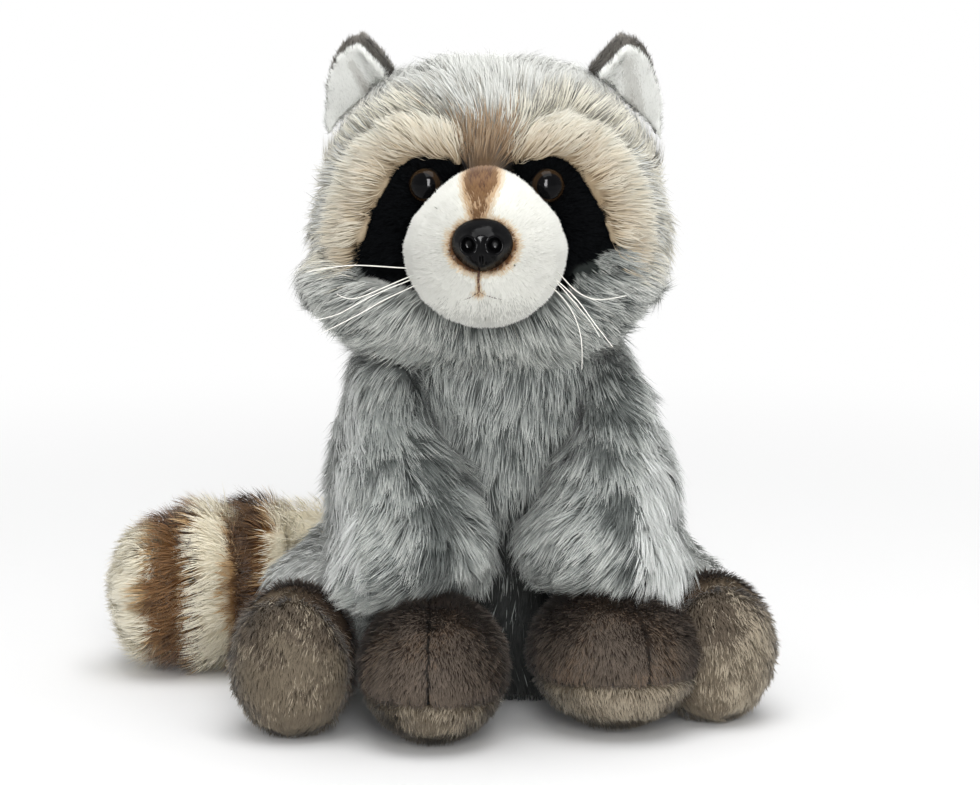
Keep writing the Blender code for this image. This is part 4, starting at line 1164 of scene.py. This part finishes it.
def into_leg(node, slimmer):
    """In to the middle of a haunch, further at its outer top."""
    low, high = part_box(node)
    middle = np.array((low + high) / 2)

    def inward(corners):
        ways = unit(middle - corners)
        top = step(-ways[:, 2:], -0.1, 0.5) * step(np.abs(corners[:, :1]) / MM, 55, 75)
        return ways * (1 + slimmer * top)

    return inward


def along_the_leg(places, ways):
    """Forwards to the foot, outwards and down."""
    x = places[:, 0]
    return np.stack([np.sign(x) * 0.5, -0.7 + 0 * x, -0.6 + 0 * x], 1)


for number, word in enumerate(SIDES):
    inward = into_leg("leg_" + word, 1.6 * number)
    cover = cover_of("leg_" + word, leg_pile, 4 * MM, 7, 5 * MM, inward, leg_shading, 1)
    grow_pile(cover, leg_pile, HAUNCH, 11000, along_the_leg, 91 + number, (), leg_shading)

# The hind feet stand on their heels: dark brown behind, with a broad taupe sole disc to the front that
# is paler at its outer edge
SOLE_FUZZ = Pile(4.4 * MM, 0.33 * MM, 42, 18, 3 * MM, 0.12, 12, 6, 0.16)
FEET = {"right": ((-77, -66, 28), -10.0, -1), "left": ((77, -44, 27), 14.0, 1)}
FOOT_HALF_WIDTH, FOOT_HALF_HEIGHT = 24.5, 29.0


def foot_shading(places, ways):
    """The upper of a foot, warmer than the forepaws, and paler along its seam on the outer side."""
    warm = 0.5 + 0.5 * patches(places, 11 * MM, 5)
    rim = 0.85 * (1 - step(apart(places, ("foot_sole_right", "foot_sole_left")), 3 * MM, 9 * MM))
    rim *= step(np.abs(places[:, 0]) / MM, 66, 80)
    return shares_of((1 - warm) * (1 - rim), warm * (1 - rim), 0, rim)


def groomed_foot(centre, turn, outer, light):
    """How a foot's sole is shaded: pale at its outer rim, dark patches in its upper part."""

    def shading(places, ways):
        x, _, z = in_paw(places, centre, turn).T
        reach = np.hypot(x / FOOT_HALF_WIDTH, z / FOOT_HALF_HEIGHT)
        pale = step(reach, 0.8, 0.97) * step(outer * x + 0.5 * z, -12, 8)
        wear = 0.12 * drift(places, 9 * MM, 8)
        pale = np.clip(pale + light * step(outer * x, -16, 12) + wear, 0.05, 0.95)
        dark = step(z + 6 * drift(places, 8 * MM, 9), 3, 12) * step(-reach, -0.92, -0.7) * 0.8
        inner = step(-outer * x + 1.1 * z + 4 * drift(places, 9 * MM, 10), 0, 18)
        spots = 0.25 * drift(places, 6 * MM, 7)
        dark = np.clip(0.15 + dark + inner * (light > 0.2) + spots, 0, 1) * (1 - pale)
        return np.stack([1 - pale - dark, pale, dark], 1) + 1e-3

    return shading


for number, word in enumerate(SIDES):
    centre, turn, outer = FEET[word]
    middle = towards(Vector(centre) * MM)
    _, comb, _ = groomed_paw(centre, turn, NO_CREASE)
    cover = cover_of("foot_" + word, paw_pile, 2.4 * MM, 3, 1.6 * MM, middle, foot_shading)
    grow_pile(cover, paw_pile, FUZZ, 10000, comb, 101 + number, (), foot_shading, None, False)
    shading = groomed_foot(centre, turn, outer, (0.02, 0.6)[number])
    cover = cover_of("foot_sole_" + word, sole_pile, 2.4 * MM, 2, 1.6 * MM, middle, shading)
    grow_pile(cover, sole_pile, SOLE_FUZZ, 12500, comb, 103 + number, (), shading)

# The tail is five strips of long pile sewn end to end, cream and brown by turns, brushed to its tip
BRUSH = Pile(9.5 * MM, 0.33 * MM, 54, 30, 4 * MM, 0.06, 9, 3, 0.14)
TAIL_POINTS = ((-12, 34, 34), (-50, 48, 33), (-84, 42, 35), (-114, 33, 35), (-134, 28, 35), (-156, 23, 34))
TAIL_LINE = np.array(TAIL_POINTS) * MM
TAIL_CREAM = tones((222, 213, 186), (234, 226, 203), (240, 235, 219))
HONEY = tones((140, 108, 70), (176, 142, 98), (206, 180, 142))
CHESTNUT = tones((76, 50, 28), (114, 79, 46), (150, 113, 74))
DARK_BROWN = tones((46, 31, 19), (76, 52, 31), (108, 81, 54))
cream_tail = pile_cloth("cream_pile", "tail_pile", [TAIL_CREAM, HONEY, CHESTNUT, DARK_BROWN], uneven=0.18)
brown_tail = cream_tail._replace(slot="tail_brown_pile")
TAIL_STRIPS = {
    "tail_root": (cream_tail, 7000),
    "tail_ring_inner": (brown_tail, 11000),
    "tail_band": (cream_tail, 11000),
    "tail_ring_outer": (brown_tail, 11000),
    "tail_tip": (cream_tail, 11000),
}
TAIL_RINGS = ((-135, -120, 0.76), (-106.5, -91.5, 0.92))


def into_tail(corners):
    """In to the tail's line, further on top towards the tip, where it droops, and less below."""
    ways = into_line(TAIL_LINE[:-1])(corners)
    droop = step(-corners[:, :1] / MM, 120, 150) * step(-ways[:, 2:], 0.2, 0.9)
    end = step(-corners[:, :1] / MM, 142, 158)
    return ways * (1 + 0.35 * droop + 0.35 * end - 0.4 * step(ways[:, 2:], 0.2, 0.9) * (1 - end))


def tail_shading(places, ways):
    """Two brown rings with honey-coloured edges on cream."""
    x = places[:, 0] / MM + 1.5 * drift(places, 7 * MM, 6)
    rings = [step(x, low - 4, low + 4) * (1 - step(x, high - 4, high + 3)) for low, high, _ in TAIL_RINGS]
    level = sum(full * ring for ring, (_, _, full) in zip(rings, TAIL_RINGS))
    return blended(level, 4)


def to_the_tail_tip(places, ways):
    """Along the tail's line, as a blend of its nearest runs."""
    runs = unit(np.diff(TAIL_LINE, axis=0))
    middles = (TAIL_LINE[1:] + TAIL_LINE[:-1]) / 2
    away = np.linalg.norm(places[:, None] - middles, axis=2)
    share = 1 / (away**3 + 1e-9)
    return (share[:, :, None] * runs).sum(1) / share.sum(1, keepdims=True)


for number, (name, (cloth, count)) in enumerate(TAIL_STRIPS.items()):
    cover = cover_of(name, cloth, 3.4 * MM, 3, 8.5 * MM, into_tail, tail_shading, 1)
    grow_pile(cover, cloth, BRUSH, count, to_the_tail_tip, 111 + number, (), tail_shading)

# The studio: a white sweep of card under soft light
FLOOR_SIZE = 20.0
SWEEP_START = 0.2
SWEEP_END = 0.8
CARD_WHITE = colour(232, 232, 232)
ROOM_LIGHT = 0.58
bpy.ops.object.select_all(action="DESELECT")
bpy.ops.mesh.primitive_plane_add(size=FLOOR_SIZE)
card = bpy.context.object
card.name = "studio_floor"
card_white, tree, shader = finish_of("card_white", 0.9, 0.1)
shader.inputs["Base Color"].default_value = CARD_WHITE
place = Wire.node(tree, "TexCoord", output=3)
away = Wire.node(tree, "VectorMath", {"operation": "LENGTH"}, {0: place}, output=1)
rays = [Wire.node(tree, "LightPath", output=k) for k in (0, 3, 6)]
seen = rays[0] + rays[1] + rays[2]
seen = seen.sum("MINIMUM", seen, 1.0)
glow = Wire.node(tree, "Emission", None, {"Color": (1, 1, 1, 1), "Strength": 1.0})
lit = Wire(tree, shader.outputs[0])
sweep = Wire.node(tree, "MixShader", None, {0: away.ramp(SWEEP_START, SWEEP_END) * seen, 1: lit, 2: glow})
tree.links.new(sweep.socket, tree.nodes["Material Output"].inputs["Surface"])
card.data.materials.append(card_white)

world = bpy.data.worlds.new("soft_room")
bpy.context.scene.world = world
world.use_nodes = True
room = world.node_tree.nodes["Background"]
room.inputs["Color"].default_value = (1, 1, 1, 1)
room.inputs["Strength"].default_value = ROOM_LIGHT


def lamp(name, place, aim, size, power):
    """A soft box that hangs at a place and points at another."""
    light = bpy.data.lights.new(name, "AREA")
    light.shape = "RECTANGLE"
    light.size, light.size_y = size
    light.energy = power
    box = added(name, light)
    box.location = place
    box.rotation_euler = (Vector(aim) - Vector(place)).to_track_quat("-Z", "Y").to_euler()
    return box


lamp("top_box", (0.1, -0.3, 1.6), (0, 0, 0.1), (1.2, 1.2), 19)
lamp("front_box", (0.12, -1.5, 0.5), (0, 0, 0.14), (0.5, 1.3), 13)
catch_light = lamp("catch_light", (0.05, -1.5, 0.62), (0, 0, 0.14), (0.42, 1.1), 52)
catch_light.visible_diffuse = False

# The camera stands in front of the toy and looks slightly down
VIEW_TARGET = Vector((-5.6, -20, 118.5)) * MM
VIEW_DISTANCE = 1.2
VIEW_ELEVATION = math.radians(9.5)
LENS = 117.6
camera = added("camera", bpy.data.cameras.new("camera"))
back = Vector((0, -math.cos(VIEW_ELEVATION), math.sin(VIEW_ELEVATION)))
camera.location = VIEW_TARGET + back * VIEW_DISTANCE
camera.rotation_euler = (-back).to_track_quat("-Z", "Y").to_euler()
camera.data.lens = LENS
camera.data.sensor_width = 36.0
bpy.context.scene.camera = camera
bpy.context.scene.view_settings.view_transform = "Standard"
